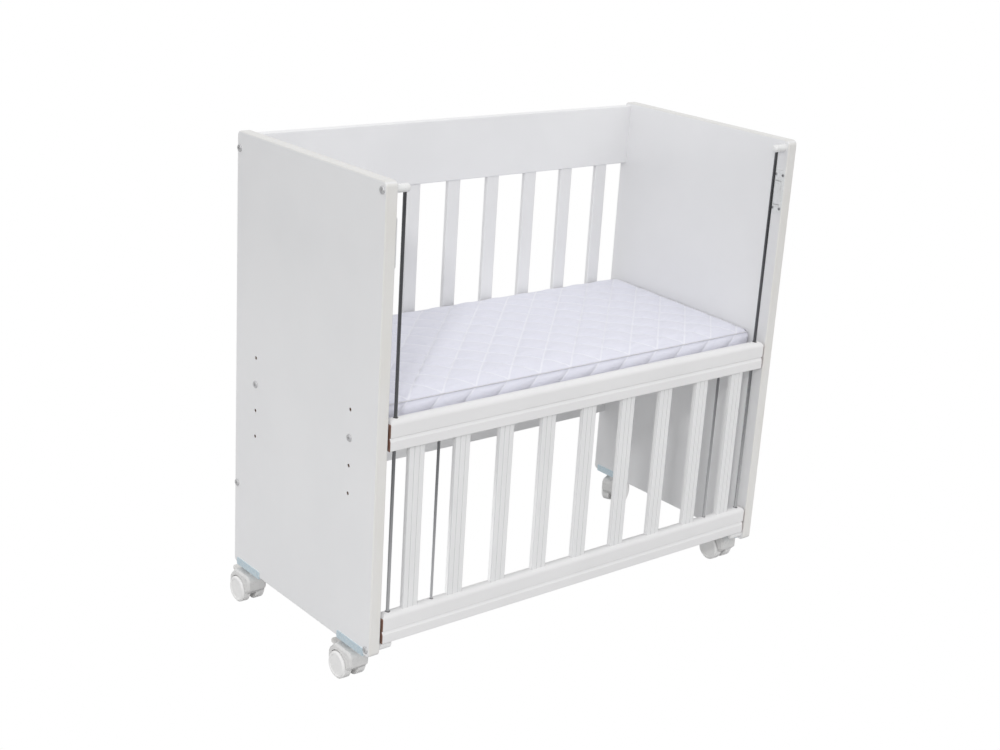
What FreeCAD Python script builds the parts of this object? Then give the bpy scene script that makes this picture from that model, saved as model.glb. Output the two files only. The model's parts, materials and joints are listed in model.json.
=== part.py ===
import FreeCAD, Part
import math
import os
import re
import Sketcher

# Bedside sleeper crib on four casters, in millimetres.
# X runs along the crib, from the left end panel to the right one.
# Y runs from the front, where the drop side is, to the back. Z is up from the floor.
# The origin is on the floor, under the middle of the crib.

Vector = FreeCAD.Vector
UP = Vector(0, 0, 1)


# ---------------------------------------------------------------- driving sizes

crib_length = 944  # outer face of the left panel to outer face of the right panel
crib_depth = 455  # front edge to rear edge of an end panel
panel_height = 825  # end panel, bottom edge to top edge
panel_thick = 22  # end panel board
panel_corner = 9  # rounded corners of an end panel, seen from its side
panel_arris = 2.5  # rounded edges all round an end panel
ground_gap = 70  # floor to the bottom edge of an end panel

height_hole_count = 4  # heights that the mattress base can be bolted at
height_hole_pitch = 50  # one base height to the next
height_hole_low = 277  # lowest base hole above the panel's bottom edge
height_hole_dia = 6.6  # base hole through the panel
height_setting = 2  # steps above the lowest hole where the base is bolted
height_front_inset = 80  # front column of base holes behind the front edge
height_rear_inset = 71  # rear column of base holes before the rear edge

rear_rail_height = 120  # boards of the fixed rear side
rear_rail_thick = 16  # boards of the fixed rear side
rear_rail_inset = 1  # rear boards before the panels' rear edges
rear_rail_arris = 2  # rounded long edges of the rear boards
rear_top_drop = 6  # upper rear board below the panels' top edges
rear_bottom_lift = 140  # lower rear board above the panels' bottom edges
rear_slat_end_gap = 51  # first and last rear slat to the panel beside it

slat_count = 9  # slats in the rear side and in the drop side
slat_width = 30  # slat of the rear side, along the crib
slat_thick = 10  # slat, front to back
slat_arris = 2.5  # rounded long edges of a slat
slat_tenon = 12  # slat end let into its rail
slat_fit = 0.1  # gap all round a slat end in its mortise
flute_width = 2  # fine flute along the outer face of a slat
flute_depth = 1  # fine flute along the outer face of a slat
flute_offset = 5.5  # flute from the slat's middle line

drop_rail_height = 55  # upper and lower rail of the drop side
drop_rail_thick = 22  # upper and lower rail of the drop side
drop_rail_spacing = 353  # underside of the lower rail to underside of the upper rail
drop_bottom_lift = 20  # lowered drop side above the panels' bottom edges
drop_end_gap = 4.6  # rail end to the inner face of the panel
drop_slat_width = 32.5  # slat of the drop side, along the crib
drop_slat_end_gap = 28  # first and last slat of the drop side to the guide rod's axis beside it
crown_flat = 1  # flat left along the rounded top of a drop side rail
drop_rail_arris = 2  # rounded lower edges of a drop side rail
rail_corner = 10  # rounded upper corners of a drop side rail, seen from the front
groove_height = 22.5  # middle of the moulded groove above a rail's underside
groove_rise = 5.5  # sloped lower flank of the moulded groove
groove_step = 2  # steep upper flank of the moulded groove
groove_depth = 3  # moulded groove into the rail's front face

guide_inset = 20.7  # guide rod axis from the inner face of the panel
guide_rod_dia = 6  # steel rod that the drop side slides on
guide_run_gap = 0.06  # running gap round the guide rod in its bush
bush_dia = 9  # plastic bush in a drop side rail
bracket_dia = 14  # plastic bracket that holds an end of a guide rod
bracket_nose = 8.5  # bracket beyond the guide rod axis
bracket_bevel = 3  # bevelled nose of the bracket
bracket_gap = 0.3  # bracket to the drop side at either end of its travel
bracket_drop = 14.7  # upper brackets' axis below the panels' top edges
rod_seat = 10  # guide rod end sunk in its bracket

tie_rod_inset = 92  # tie rod from the guide rod beside it
tie_rod_dia = 5  # steel rod that ties the two drop side rails together
tie_hole_dia = 8  # clearance hole for the tie rod in the lower rail
tie_seat_dia = 14  # counterbore for the tie rod's nut
tie_seat_depth = 9  # counterbore for the tie rod's nut
tie_nut_width = 8  # tie rod nut across its flats
tie_nut_height = 4  # tie rod nut
tie_washer_dia = 13  # washer under the tie rod's nut
tie_washer_thick = 1  # washer under the tie rod's nut
tie_rod_grip = 30  # tie rod let into the upper rail

bolt_dia = 6  # furniture bolt
bolt_hole_dia = 6.6  # clearance hole for a furniture bolt
bolt_head_dia = 13.5  # furniture bolt head
bolt_head_height = 2.4  # furniture bolt head
bolt_key_width = 4  # hexagon socket across its flats
bolt_key_depth = 1.8  # hexagon socket
rail_bolt_length = 60  # bolt through a panel into a rear board
rail_bolt_end_gap = 2  # bore beyond the end of a rear board's bolt
rail_bolt_margin = 24  # rear board bolt from the board's outer edge
barrel_nut_dia = 10  # barrel nut across a rear board
barrel_nut_length = 12.5  # barrel nut across a rear board
barrel_nut_inset = 30  # barrel nut from the end of a rear board
dowel_dia = 8  # wooden dowel between a panel and a rear board
dowel_length = 30  # wooden dowel
dowel_in_panel = 12  # dowel let into the panel
short_bolt_length = 35  # bolt through a panel into a rod bracket or a base rail
insert_dia = 10  # threaded insert in an end rail of the base
insert_length = 15  # threaded insert in an end rail of the base

base_rail_height = 36  # rails of the mattress base
base_rail_thick = 18  # rails of the mattress base
base_front_gap = 12.5  # mattress base behind the rails of the drop side
base_rear_gap = 3.5  # mattress base before the rear boards
base_side_gap = 0  # end rail of the base to the panel
base_board_thick = 9  # board that the mattress lies on
base_board_gap = 0.5  # gap all round the board in its frame
batten_width = 12  # battens under the board
base_screw_dia = 5  # screws through the end rails into the long rails
base_screw_length = 50  # screws through the end rails into the long rails
base_screw_spread = 16  # one screw above the other in a corner
vent_dia = 26  # air holes in the board
vent_pitch_long = 150  # air holes along the board
vent_pitch_deep = 130  # air holes across the board
vent_columns = 5  # air holes along the board
vent_rows = 2  # air holes across the board

mattress_end_gap = 1.5  # either end of the mattress to the panel beside it
mattress_front_gap = 15.5  # mattress behind the rails of the drop side
mattress_rear_gap = 1  # mattress before the rear boards
mattress_side = 43  # underside to the sewn edge
mattress_crown = 14  # middle of the mattress above its sewn edge
mattress_swell = 3  # side wall standing out between its two sewn edges
mattress_corner = 14  # rounded corners seen from above
crown_reach = 70  # sewn edge to the level middle
mattress_steps = 6  # outlines that shape the side, and as many again the crown
mattress_rest = 0.3  # mattress above its board

latch_width = 26  # catch plate, front to back
latch_height = 83  # catch plate
latch_thick = 1.4  # catch plate
latch_corner = 4  # rounded corners of the catch plate
latch_front_gap = 0.8  # catch plate behind the panel's front edge
latch_above_rail = 3  # raised rail above the tongue's ledge at the top of its travel
ledge_height = 61  # tongue's ledge above the foot of the catch plate
latch_frame_foot = 13  # raised frame above the foot of the catch plate
latch_frame_height = 53  # raised frame round the tongue
latch_frame_wall = 2.7  # raised frame round the tongue
latch_frame_thick = 2.8  # raised frame off the panel
latch_window_foot = 2.5  # window above the foot of the raised frame
tongue_width = 15  # tongue, front to back
tongue_gap = 0.3  # tongue to the frame and to the panel
tongue_thick_top = 3.6  # tongue at its ledge
tongue_thick_foot = 2.3  # tongue at its pivot
tongue_pivot_height = 18  # pivot above the foot of the catch plate
pivot_dia = 1.8  # pivot pins moulded on the tongue
pivot_run_gap = 0.05  # running gap round the pivot pins
latch_screw_spread = 17.2  # screws of the catch plate, front to back
latch_screw_low = 9  # lower screws above the foot of the catch plate
latch_screw_high = 74  # upper screws above the foot of the catch plate
latch_screw_dia = 3  # catch plate screw
latch_screw_length = 12  # catch plate screw under its head
latch_screw_head = 5.4  # catch plate screw head
latch_screw_rise = 1.1  # catch plate screw head

caster_front_inset = 58.5  # front stems behind the panels' front edges
caster_rear_inset = 52.3  # rear stems before the panels' rear edges
saddle_length = 80  # zinc saddle under the panel's edge
saddle_floor = 2  # zinc saddle under the panel's edge
saddle_wall = 1.5  # zinc saddle up the panel's faces
saddle_rise = 12  # zinc saddle up the panel's faces
saddle_corner = 2  # rounded corners of the saddle's walls
saddle_screw_spread = 60  # screws through the saddle's floor
saddle_screw_dia = 3.5  # screws through the saddle's floor
saddle_screw_length = 18  # screws through the saddle's floor
saddle_screw_head = 6.5  # screws through the saddle's floor
saddle_screw_rise = 1.8  # screw head under the saddle's floor
socket_dia = 11  # tube on the saddle that takes the stem
socket_height = 28  # tube on the saddle that takes the stem
socket_end_gap = 2  # bore in the panel beyond the end of the tube
stem_dia = 8  # caster stem
stem_run_gap = 0.08  # running gap round the caster stem
stem_foot = 40  # lower end of the stem above the floor
stem_reach = 26  # stem above the panel's bottom edge

wheel_radius = 25  # caster wheel
wheel_width = 18  # caster wheel
wheel_arris = 3  # bevel of the tread's outer edge
wheel_rim = 2.5  # raised rim on a wheel's outer face
wheel_dish = 1.2  # outer face sunk inside its rim
wheel_side_gap = 0.5  # wheel to the web between the wheels
caster_trail = 22  # wheel axle behind the stem
axle_dia = 6  # wheel axle
axle_run_gap = 0.06  # running gap round the axle in a wheel
axle_length = 38  # wheel axle
axle_end_gap = 0.8  # end of the axle to the closed end of a wheel's bore

hood_width = 40  # hood over the wheels
hood_front = 16  # hood before the stem
hood_rear = 54  # hood behind the stem
hood_top = 61  # hood above the floor
hood_skirt = 24  # lower edge of the hood above the floor
hood_shoulder = 18  # sloped shoulder over the brake lever
hood_round = 12  # rounded top corners of the hood
hood_arris = 3.5  # bevelled sides of the hood
hood_chin = 10  # sloped lower front corner of the hood
hood_web = 12  # web between the wheels
web_foot = 12  # lower edge of the web above the floor
web_half = 11  # half of the web's lower edge
well_gap = 1.5  # hood clear of a wheel's tread
neck_dia = 15  # collar round the stem
neck_gap = 0.3  # collar to the underside of the saddle

brake_back = 42.5  # brake pivot behind the stem
brake_height = 46.5  # brake pivot above the floor
brake_hub_dia = 6.4  # brake lever round its pivot
brake_pin_dia = 3  # pivot pins moulded on the brake lever
brake_run_gap = 0.05  # running gap round the brake's pivot pins
brake_pin_length = 28  # brake pivot pins, end to end
brake_pin_end_gap = 0.5  # end of a pivot pin to the end of its bore
brake_width = 15.4  # brake lever, side to side
brake_slot_gap = 0.5  # brake lever to the sides of its slot
brake_slot_foot = 41.5  # floor of the brake's slot above the ground
brake_slot_front = 37.5  # front wall of the brake's slot behind the stem
brake_reach = 24  # tip of the brake lever behind its pivot
brake_tab_thick = 4  # brake lever's tab
brake_tab_rise = 3.5  # tip of the tab above its root
brake_tab_round = 6.5  # rounded corners of the tab seen from above

heading_front_left = 90  # way that this caster trails, degrees from X
heading_front_right = 90  # way that this caster trails, degrees from X
heading_rear_left = 90  # way that this caster trails, degrees from X
heading_rear_right = 25  # way that this caster trails, degrees from X

driving_sizes = {name: number for name, number in globals().items() if type(number) in (int, float)}
TOUCH = 1e-4  # places closer than this count as one

doc = FreeCAD.newDocument("BedsideCrib")
sheet = doc.addObject("Spreadsheet::Sheet", "Dimensions")
for row, (name, number) in enumerate(driving_sizes.items(), 1):
    sheet.set(f"A{row}", name)
    sheet.set(f"B{row}", str(number))
    sheet.setAlias(f"B{row}", name)
doc.recompute()
nodes = []


def formula(text):
    """The formula with each size's name pointing at its cell."""
    def cell(match):
        word = match.group(0)
        return f"Dimensions.{word}" if word in driving_sizes else word
    return re.sub(r"[a-z][a-z_]*[a-z]", cell, text)


def value(text):
    """The number that a formula gives."""
    return float(sheet.evalExpression(formula(text)))


# ---------------------------------------------------------------- places worked out from the sizes

INNER_X = "(crib_length / 2 - panel_thick)"
INNER_LENGTH = "(crib_length - 2 * panel_thick)"
FRONT_Y = "(0 - crib_depth / 2)"
REAR_Y = "(crib_depth / 2)"

REAR_BOARD_FRONT_Y = f"({REAR_Y} - rear_rail_inset - rear_rail_thick)"
REAR_BOARD_MID_Y = f"({REAR_Y} - rear_rail_inset - rear_rail_thick / 2)"
REAR_TOP_Z = "(ground_gap + panel_height - rear_top_drop - rear_rail_height)"
REAR_BOTTOM_Z = "(ground_gap + rear_bottom_lift)"
REAR_SLAT_X = f"(rear_slat_end_gap + slat_width / 2 - {INNER_X})"
REAR_SLAT_PITCH = f"(0 - 2 * {REAR_SLAT_X} / (slat_count - 1))"

DROP_MID_Y = f"({FRONT_Y} + drop_rail_thick / 2)"
DROP_LENGTH = f"({INNER_LENGTH} - 2 * drop_end_gap)"
DROP_BOTTOM_Z = "(ground_gap + drop_bottom_lift)"
DROP_TOP_Z = "(ground_gap + drop_bottom_lift + drop_rail_spacing)"
GUIDE_X = f"({INNER_X} - guide_inset)"
TIE_X = f"({GUIDE_X} - tie_rod_inset)"
DROP_SLAT_X = f"(drop_slat_end_gap + drop_slat_width / 2 - {GUIDE_X})"
DROP_SLAT_PITCH = f"(0 - 2 * {DROP_SLAT_X} / (slat_count - 1))"

BRACKET_LOW_Z = f"({DROP_BOTTOM_Z} - bracket_gap - bracket_dia / 2)"
BRACKET_HIGH_Z = "(ground_gap + panel_height - bracket_drop)"
RAISED_TOP_Z = f"({BRACKET_HIGH_Z} - bracket_dia / 2 - bracket_gap)"

BASE_BOLT_Z = "(ground_gap + height_hole_low + height_setting * height_hole_pitch)"
BASE_Z = f"({BASE_BOLT_Z} - base_rail_height / 2)"
BASE_TOP_Z = f"({BASE_BOLT_Z} + base_rail_height / 2)"
BASE_REAR_Y = f"({REAR_BOARD_FRONT_Y} - base_rear_gap)"
BASE_FRONT_Y = f"({FRONT_Y} + drop_rail_thick + base_front_gap)"
BASE_DEPTH = f"({BASE_REAR_Y} - {BASE_FRONT_Y})"
BASE_FRONT_BOLT_Y = f"({FRONT_Y} + height_front_inset)"
BASE_REAR_BOLT_Y = f"({REAR_Y} - height_rear_inset)"

LATCH_Y = f"({FRONT_Y} + latch_front_gap + latch_width / 2)"
LATCH_Z = f"({RAISED_TOP_Z} - drop_rail_height - latch_above_rail - ledge_height)"

SADDLE_X = "(crib_length / 2 - panel_thick / 2)"
CASTERS = {
    "front_left": (-1, f"({FRONT_Y} + caster_front_inset)"),
    "front_right": (1, f"({FRONT_Y} + caster_front_inset)"),
    "rear_left": (-1, f"({REAR_Y} - caster_rear_inset)"),
    "rear_right": (1, f"({REAR_Y} - caster_rear_inset)"),
}
SIDES = {"left": -1, "right": 1}


# ---------------------------------------------------------------- ways of making a piece

def node(piece, name):
    """Name a finished piece, so that it is written to a file of that name."""
    piece.Label = name
    nodes.append(piece)
    return piece


def place(piece, x="0", y="0", z="0", turn="0"):
    """Put a piece at (x, y, z), turned about the vertical, and keep it tied to the sizes."""
    spot = f"create(<<vector>>; {x}; {y}; {z})"
    spin = f"create(<<rotation>>; create(<<vector>>; 0; 0; 1); {turn})"
    piece.setExpression("Placement", formula(f"create(<<placement>>; {spot}; {spin})"))
    return piece


def new_body(name, x="0", y="0", z="0", turn="0"):
    body = doc.addObject("PartDesign::Body", name)
    place(body, x, y, z, turn)
    return node(body, name)


def sketch_on(body, name, role, offset="0", lift="0"):
    """A sketch on one of the body's own planes, moved along its normal and up its own Y."""
    sketch = body.newObject("Sketcher::SketchObject", name)
    plane = next(part for part in body.Origin.OriginFeatures if part.Role == role)
    sketch.AttachmentSupport = [(plane, "")]
    sketch.MapMode = "FlatFace"
    sketch.setExpression("AttachmentOffset.Base.z", formula(offset))
    sketch.setExpression("AttachmentOffset.Base.y", formula(lift))
    return sketch


def bind(sketch, constraint, text):
    index = sketch.addConstraint(constraint)
    sketch.setExpression(f"Constraints[{index}]", formula(text))


def bind_point(sketch, geometry, end, x, y):
    """Hold a point of the sketch at (x, y) from its origin."""
    bind(sketch, Sketcher.Constraint("DistanceX", -1, 1, geometry, end, value(x)), x)
    bind(sketch, Sketcher.Constraint("DistanceY", -1, 1, geometry, end, value(y)), y)


def draw_outline(sketch, corners):
    """A closed run of straight lines through the corners, each an (x, y) of formulas."""
    points = [Vector(value(x), value(y), 0) for x, y in corners]
    first = sketch.GeometryCount
    count = len(corners)
    for index, point in enumerate(points):
        sketch.addGeometry(Part.LineSegment(point, points[(index + 1) % count]))
    for index, (x, y) in enumerate(corners):
        following = first + (index + 1) % count
        sketch.addConstraint(Sketcher.Constraint("Coincident", first + index, 2, following, 1))
        bind_point(sketch, first + index, 1, x, y)


def draw_rectangle(sketch, left, right, low, high):
    draw_outline(sketch, [(left, low), (right, low), (right, high), (left, high)])


def draw_circle(sketch, x, y, diameter):
    centre = Vector(value(x), value(y), 0)
    circle = sketch.addGeometry(Part.Circle(centre, UP, value(diameter) / 2))
    bind_point(sketch, circle, 3, x, y)
    bind(sketch, Sketcher.Constraint("Diameter", circle, value(diameter)), diameter)


def draw_corner_waste(sketch, corner_x, inward, top, radius):
    """The waste outside a rounded corner: two lines along the edges, closed by an arc."""
    low = f"{top} - {radius}"
    across = f"{corner_x} + {inward} * {radius}"
    below = Vector(value(corner_x), value(low), 0)
    corner = Vector(value(corner_x), value(top), 0)
    beside = Vector(value(across), value(top), 0)
    centre = Vector(value(across), value(low), 0)
    middle = centre + (corner - centre).normalize() * value(radius)
    side = sketch.addGeometry(Part.LineSegment(below, corner))
    edge = sketch.addGeometry(Part.LineSegment(corner, beside))
    arc = sketch.addGeometry(Part.Arc(beside, middle, below))
    beside_end = 1 if sketch.getPoint(arc, 1).distanceToPoint(beside) < TOUCH else 2
    sketch.addConstraint(Sketcher.Constraint("Coincident", side, 2, edge, 1))
    sketch.addConstraint(Sketcher.Constraint("Coincident", edge, 2, arc, beside_end))
    sketch.addConstraint(Sketcher.Constraint("Coincident", side, 1, arc, 3 - beside_end))
    bind_point(sketch, side, 1, corner_x, low)
    bind_point(sketch, edge, 1, corner_x, top)
    bind_point(sketch, edge, 2, across, top)
    bind(sketch, Sketcher.Constraint("Radius", arc, value(radius)), radius)


def pad(body, name, sketch, length, both_ways=False, backwards=False):
    feature = body.newObject("PartDesign::Pad", name)
    feature.Profile = sketch
    feature.setExpression("Length", formula(length))
    feature.SideType = "Symmetric" if both_ways else "One side"
    feature.Reversed = backwards
    doc.recompute()
    return feature


def pocket(body, name, sketch, depth=None, backwards=False, both_ways=False):
    """Cut the sketch away, to a depth or right through, and make sure that it cuts."""
    before = body.Shape.Volume
    feature = body.newObject("PartDesign::Pocket", name)
    feature.Profile = sketch
    if depth is None:
        feature.Type = "ThroughAll"
    else:
        feature.setExpression("Length", formula(depth))
    feature.SideType = "Symmetric" if both_ways else "One side"
    feature.Reversed = backwards
    doc.recompute()
    if feature.Shape.Volume >= before:
        raise RuntimeError(f"{body.Label}: {name} cuts nothing")
    return feature


def drill(body, name, role, holes, offset="0", depth=None, backwards=False, both_ways=False):
    """Round holes, each an (x, y, diameter), cut from a plane of the body."""
    sketch = sketch_on(body, name + "_sketch", role, offset)
    for x, y, diameter in holes:
        draw_circle(sketch, x, y, diameter)
    through = depth is None
    return pocket(body, name, sketch, depth, backwards, both_ways or through)


def repeat(body, name, feature, axis, length, count):
    """Repeat a feature in a straight row."""
    row = body.newObject("PartDesign::LinearPattern", name)
    row.Originals = [feature]
    row.Direction = (feature.Profile[0], [axis])
    row.setExpression("Length", formula(length))
    row.setExpression("Occurrences", formula(count))
    body.Tip = row
    doc.recompute()
    return row


def names_of(shape, kind, wanted):
    """Names of the edges or faces of a shape for which wanted(element) is true."""
    elements = getattr(shape, kind + "s")
    return [f"{kind}{index}" for index, element in enumerate(elements, 1) if wanted(element)]


def runs_along(direction, near=None):
    """A test for straight edges along a direction, and, if given, near a place."""
    def wanted(edge):
        if edge.Curve.TypeId != "Part::GeomLine":
            return False
        if edge.Curve.Direction.cross(direction).Length > TOUCH:
            return False
        return near is None or near(edge.CenterOfMass)
    return wanted


def flat_at(axis, level):
    """A test for flat faces square to an axis (0, 1 or 2) at a level."""
    def wanted(face):
        box = face.BoundBox
        low = (box.XMin, box.YMin, box.ZMin)[axis]
        high = (box.XMax, box.YMax, box.ZMax)[axis]
        return abs(low - level) < TOUCH and abs(high - level) < TOUCH
    return wanted


def round_off(body, name, kind, wanted, radius):
    """Round the edges, or the edges of the faces, for which wanted(element) is true."""
    base = body.Tip
    feature = body.newObject("PartDesign::Fillet", name)
    feature.Base = (base, names_of(base.Shape, kind, wanted))
    feature.setExpression("Radius", formula(radius))
    doc.recompute()
    return feature


def bevel(body, name, kind, wanted, size):
    """Bevel the edges, or the edges of the faces, for which wanted(element) is true."""
    base = body.Tip
    feature = body.newObject("PartDesign::Chamfer", name)
    feature.Base = (base, names_of(base.Shape, kind, wanted))
    feature.setExpression("Size", formula(size))
    doc.recompute()
    return feature


def board(name, x, y, z, length, depth, height):
    """A plain board, its lowest corner at (x, y, z)."""
    body = new_body(name, x, y, z)
    sketch = sketch_on(body, name + "_outline", "XY_Plane")
    draw_rectangle(sketch, "0", length, "0", depth)
    pad(body, name + "_thickness", sketch, height)
    return body


def copies(name, shape, places):
    """Alike pieces in one node, each a separate solid at its own placement."""
    feature = doc.addObject("Part::Feature", name)
    feature.Shape = Part.makeCompound([shape.transformed(spot.toMatrix(), True) for spot in places])
    return node(feature, name)


def cylinder(diameter, length, x=0, y=0, z=0, direction=UP):
    return Part.makeCylinder(diameter / 2, length, Vector(x, y, z), direction)


def facing(x, y, z, sign):
    """A placement at (x, y, z) that turns a piece's X axis inwards from its own side."""
    angle = 0 if sign < 0 else 180
    return FreeCAD.Placement(Vector(x, y, z), FreeCAD.Rotation(UP, angle))


# ---------------------------------------------------------------- end panels

def end_panel(side):
    """White board with rounded edges, base height holes, bolt holes and caster bores."""
    on_left = side == "left"
    corner_x = "0 - crib_length / 2" if on_left else INNER_X
    body = new_body(f"end_panel_{side}", corner_x, "0", "ground_gap")
    outline = sketch_on(body, f"panel_outline_{side}", "YZ_Plane")
    draw_rectangle(outline, FRONT_Y, REAR_Y, "0", "panel_height")
    pad(body, f"panel_board_{side}", outline, "panel_thick")
    along_x = Vector(1, 0, 0)
    round_off(body, f"panel_corners_{side}", "Edge", runs_along(along_x), "panel_corner")
    thick = value("panel_thick")

    def on_a_face(face):
        return flat_at(0, 0)(face) or flat_at(0, thick)(face)
    round_off(body, f"panel_arris_{side}", "Face", on_a_face, "panel_arris")

    columns = ((BASE_FRONT_BOLT_Y, "front"), (BASE_REAR_BOLT_Y, "rear"))
    for column_y, column in columns:
        lowest = drill(body, f"height_hole_{column}_{side}", "YZ_Plane",
                       [(column_y, "height_hole_low", "height_hole_dia")])
        repeat(body, f"height_holes_{column}_{side}", lowest, "V_Axis",
               "(height_hole_count - 1) * height_hole_pitch", "height_hole_count")

    rod_low = f"{BRACKET_LOW_Z} - ground_gap"
    rod_high = f"{BRACKET_HIGH_Z} - ground_gap"
    board_high = "panel_height - rear_top_drop - rail_bolt_margin"
    board_low = "rear_bottom_lift + rail_bolt_margin"
    drill(body, f"bolt_holes_{side}", "YZ_Plane", [
        (DROP_MID_Y, rod_low, "bolt_hole_dia"),
        (DROP_MID_Y, rod_high, "bolt_hole_dia"),
        (REAR_BOARD_MID_Y, board_high, "bolt_hole_dia"),
        (REAR_BOARD_MID_Y, board_low, "bolt_hole_dia"),
    ])

    inner_face = "panel_thick" if on_left else "0"
    dowel_high = "panel_height - rear_top_drop - rear_rail_height + rail_bolt_margin"
    dowel_low = "rear_bottom_lift + rear_rail_height - rail_bolt_margin"
    drill(body, f"dowel_holes_{side}", "YZ_Plane", [
        (REAR_BOARD_MID_Y, dowel_high, "dowel_dia"),
        (REAR_BOARD_MID_Y, dowel_low, "dowel_dia"),
    ], inner_face, "dowel_in_panel", backwards=not on_left)

    pilots = []
    for along in ("-1", "1"):
        for level in ("latch_screw_low", "latch_screw_high"):
            pilots.append((f"{LATCH_Y} + {along} * latch_screw_spread / 2",
                           f"{LATCH_Z} - ground_gap + {level}", "latch_screw_dia"))
    drill(body, f"latch_pilots_{side}", "YZ_Plane", pilots, inner_face,
          "latch_screw_length - latch_thick", backwards=not on_left)

    stems = [y for sign, y in CASTERS.values() if sign == SIDES[side]]
    drill(body, f"caster_bores_{side}", "XY_Plane",
          [("panel_thick / 2", y, "socket_dia") for y in stems],
          "0", "socket_height + socket_end_gap", backwards=True)
    screws = []
    for y in stems:
        for along in ("-1", "1"):
            screws.append(("panel_thick / 2", f"{y} + {along} * saddle_screw_spread / 2",
                           "saddle_screw_dia"))
    drill(body, f"saddle_pilots_{side}", "XY_Plane", screws,
          "0", "saddle_screw_length - saddle_floor", backwards=True)


# ---------------------------------------------------------------- fixed rear side

def cut_mortises(body, name, first_x, mid_y, level, pitch, width, upwards):
    """A row of mortises, sunk from a level of the rail."""
    half_wide = f"({width} / 2 + slat_fit)"
    half_deep = "(slat_thick / 2 + slat_fit)"
    sketch = sketch_on(body, name + "_sketch", "XY_Plane", level)
    draw_rectangle(sketch, f"{first_x} - {half_wide}", f"{first_x} + {half_wide}",
                   f"{mid_y} - {half_deep}", f"{mid_y} + {half_deep}")
    first = pocket(body, name + "_first", sketch, "slat_tenon + slat_fit", backwards=upwards)
    repeat(body, name, first, "H_Axis", f"(slat_count - 1) * {pitch}", "slat_count")


def rear_board(name, z, upper):
    """One of the two boards that hold the rear slats, bolted and dowelled to both panels."""
    body = new_body(name, f"0 - {INNER_X}", REAR_BOARD_FRONT_Y, z)
    outline = sketch_on(body, name + "_section", "YZ_Plane")
    draw_rectangle(outline, "0", "rear_rail_thick", "0", "rear_rail_height")
    pad(body, name + "_length", outline, INNER_LENGTH)
    round_off(body, name + "_arris", "Edge", runs_along(Vector(1, 0, 0)), "rear_rail_arris")

    bolt_z = "rear_rail_height - rail_bolt_margin" if upper else "rail_bolt_margin"
    dowel_z = "rail_bolt_margin" if upper else "rear_rail_height - rail_bolt_margin"
    bolt_depth = "rail_bolt_length - panel_thick + rail_bolt_end_gap"
    dowel_depth = "dowel_length - dowel_in_panel"
    mid = "rear_rail_thick / 2"
    for end, level, inwards in (("left", "0", True), ("right", INNER_LENGTH, False)):
        drill(body, f"{name}_bolt_bore_{end}", "YZ_Plane", [(mid, bolt_z, "bolt_hole_dia")],
              level, bolt_depth, backwards=inwards)
        drill(body, f"{name}_dowel_bore_{end}", "YZ_Plane", [(mid, dowel_z, "dowel_dia")],
              level, dowel_depth, backwards=inwards)
    drill(body, f"{name}_nut_bores", "XZ_Plane", [
        ("barrel_nut_inset", bolt_z, "barrel_nut_dia"),
        (f"{INNER_LENGTH} - barrel_nut_inset", bolt_z, "barrel_nut_dia"),
    ], "0 - rear_rail_thick", "barrel_nut_length", backwards=True)

    first_x = f"({INNER_X} + {REAR_SLAT_X})"
    level = "0" if upper else "rear_rail_height"
    cut_mortises(body, name + "_mortises", first_x, mid, level, REAR_SLAT_PITCH, "slat_width", upper)


def slats(name, x, y, z, length, pitch, width, outer_side):
    """A row of slats with rounded edges and two fine flutes on the outer face."""
    body = new_body(name, x, y, z)
    body.AllowCompound = True
    face = f"{outer_side} * slat_thick / 2"
    floor = f"{outer_side} * (slat_thick / 2 - flute_depth)"
    corners = [(f"0 - {width} / 2", face)]
    for flute in ("-1", "1"):
        corners.append((f"{flute} * flute_offset - flute_width / 2", face))
        corners.append((f"{flute} * flute_offset", floor))
        corners.append((f"{flute} * flute_offset + flute_width / 2", face))
    corners.append((f"{width} / 2", face))
    corners.append((f"{width} / 2", f"0 - {face}"))
    corners.append((f"0 - {width} / 2", f"0 - {face}"))
    section = sketch_on(body, name + "_section", "XY_Plane")
    draw_outline(section, corners)
    stick = pad(body, name + "_stick", section, length)
    half = value(f"{width} / 2")

    def at_a_corner(point):
        return abs(abs(point.x) - half) < TOUCH
    round_off(body, name + "_arris", "Edge", runs_along(UP, at_a_corner), "slat_arris")
    row = body.newObject("PartDesign::LinearPattern", name + "_row")
    row.TransformMode = "Whole shape"
    row.Direction = (stick.Profile[0], ["H_Axis"])
    row.setExpression("Length", formula(f"(slat_count - 1) * {pitch}"))
    row.setExpression("Occurrences", formula("slat_count"))
    body.Tip = row
    doc.recompute()


# ---------------------------------------------------------------- drop side

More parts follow.
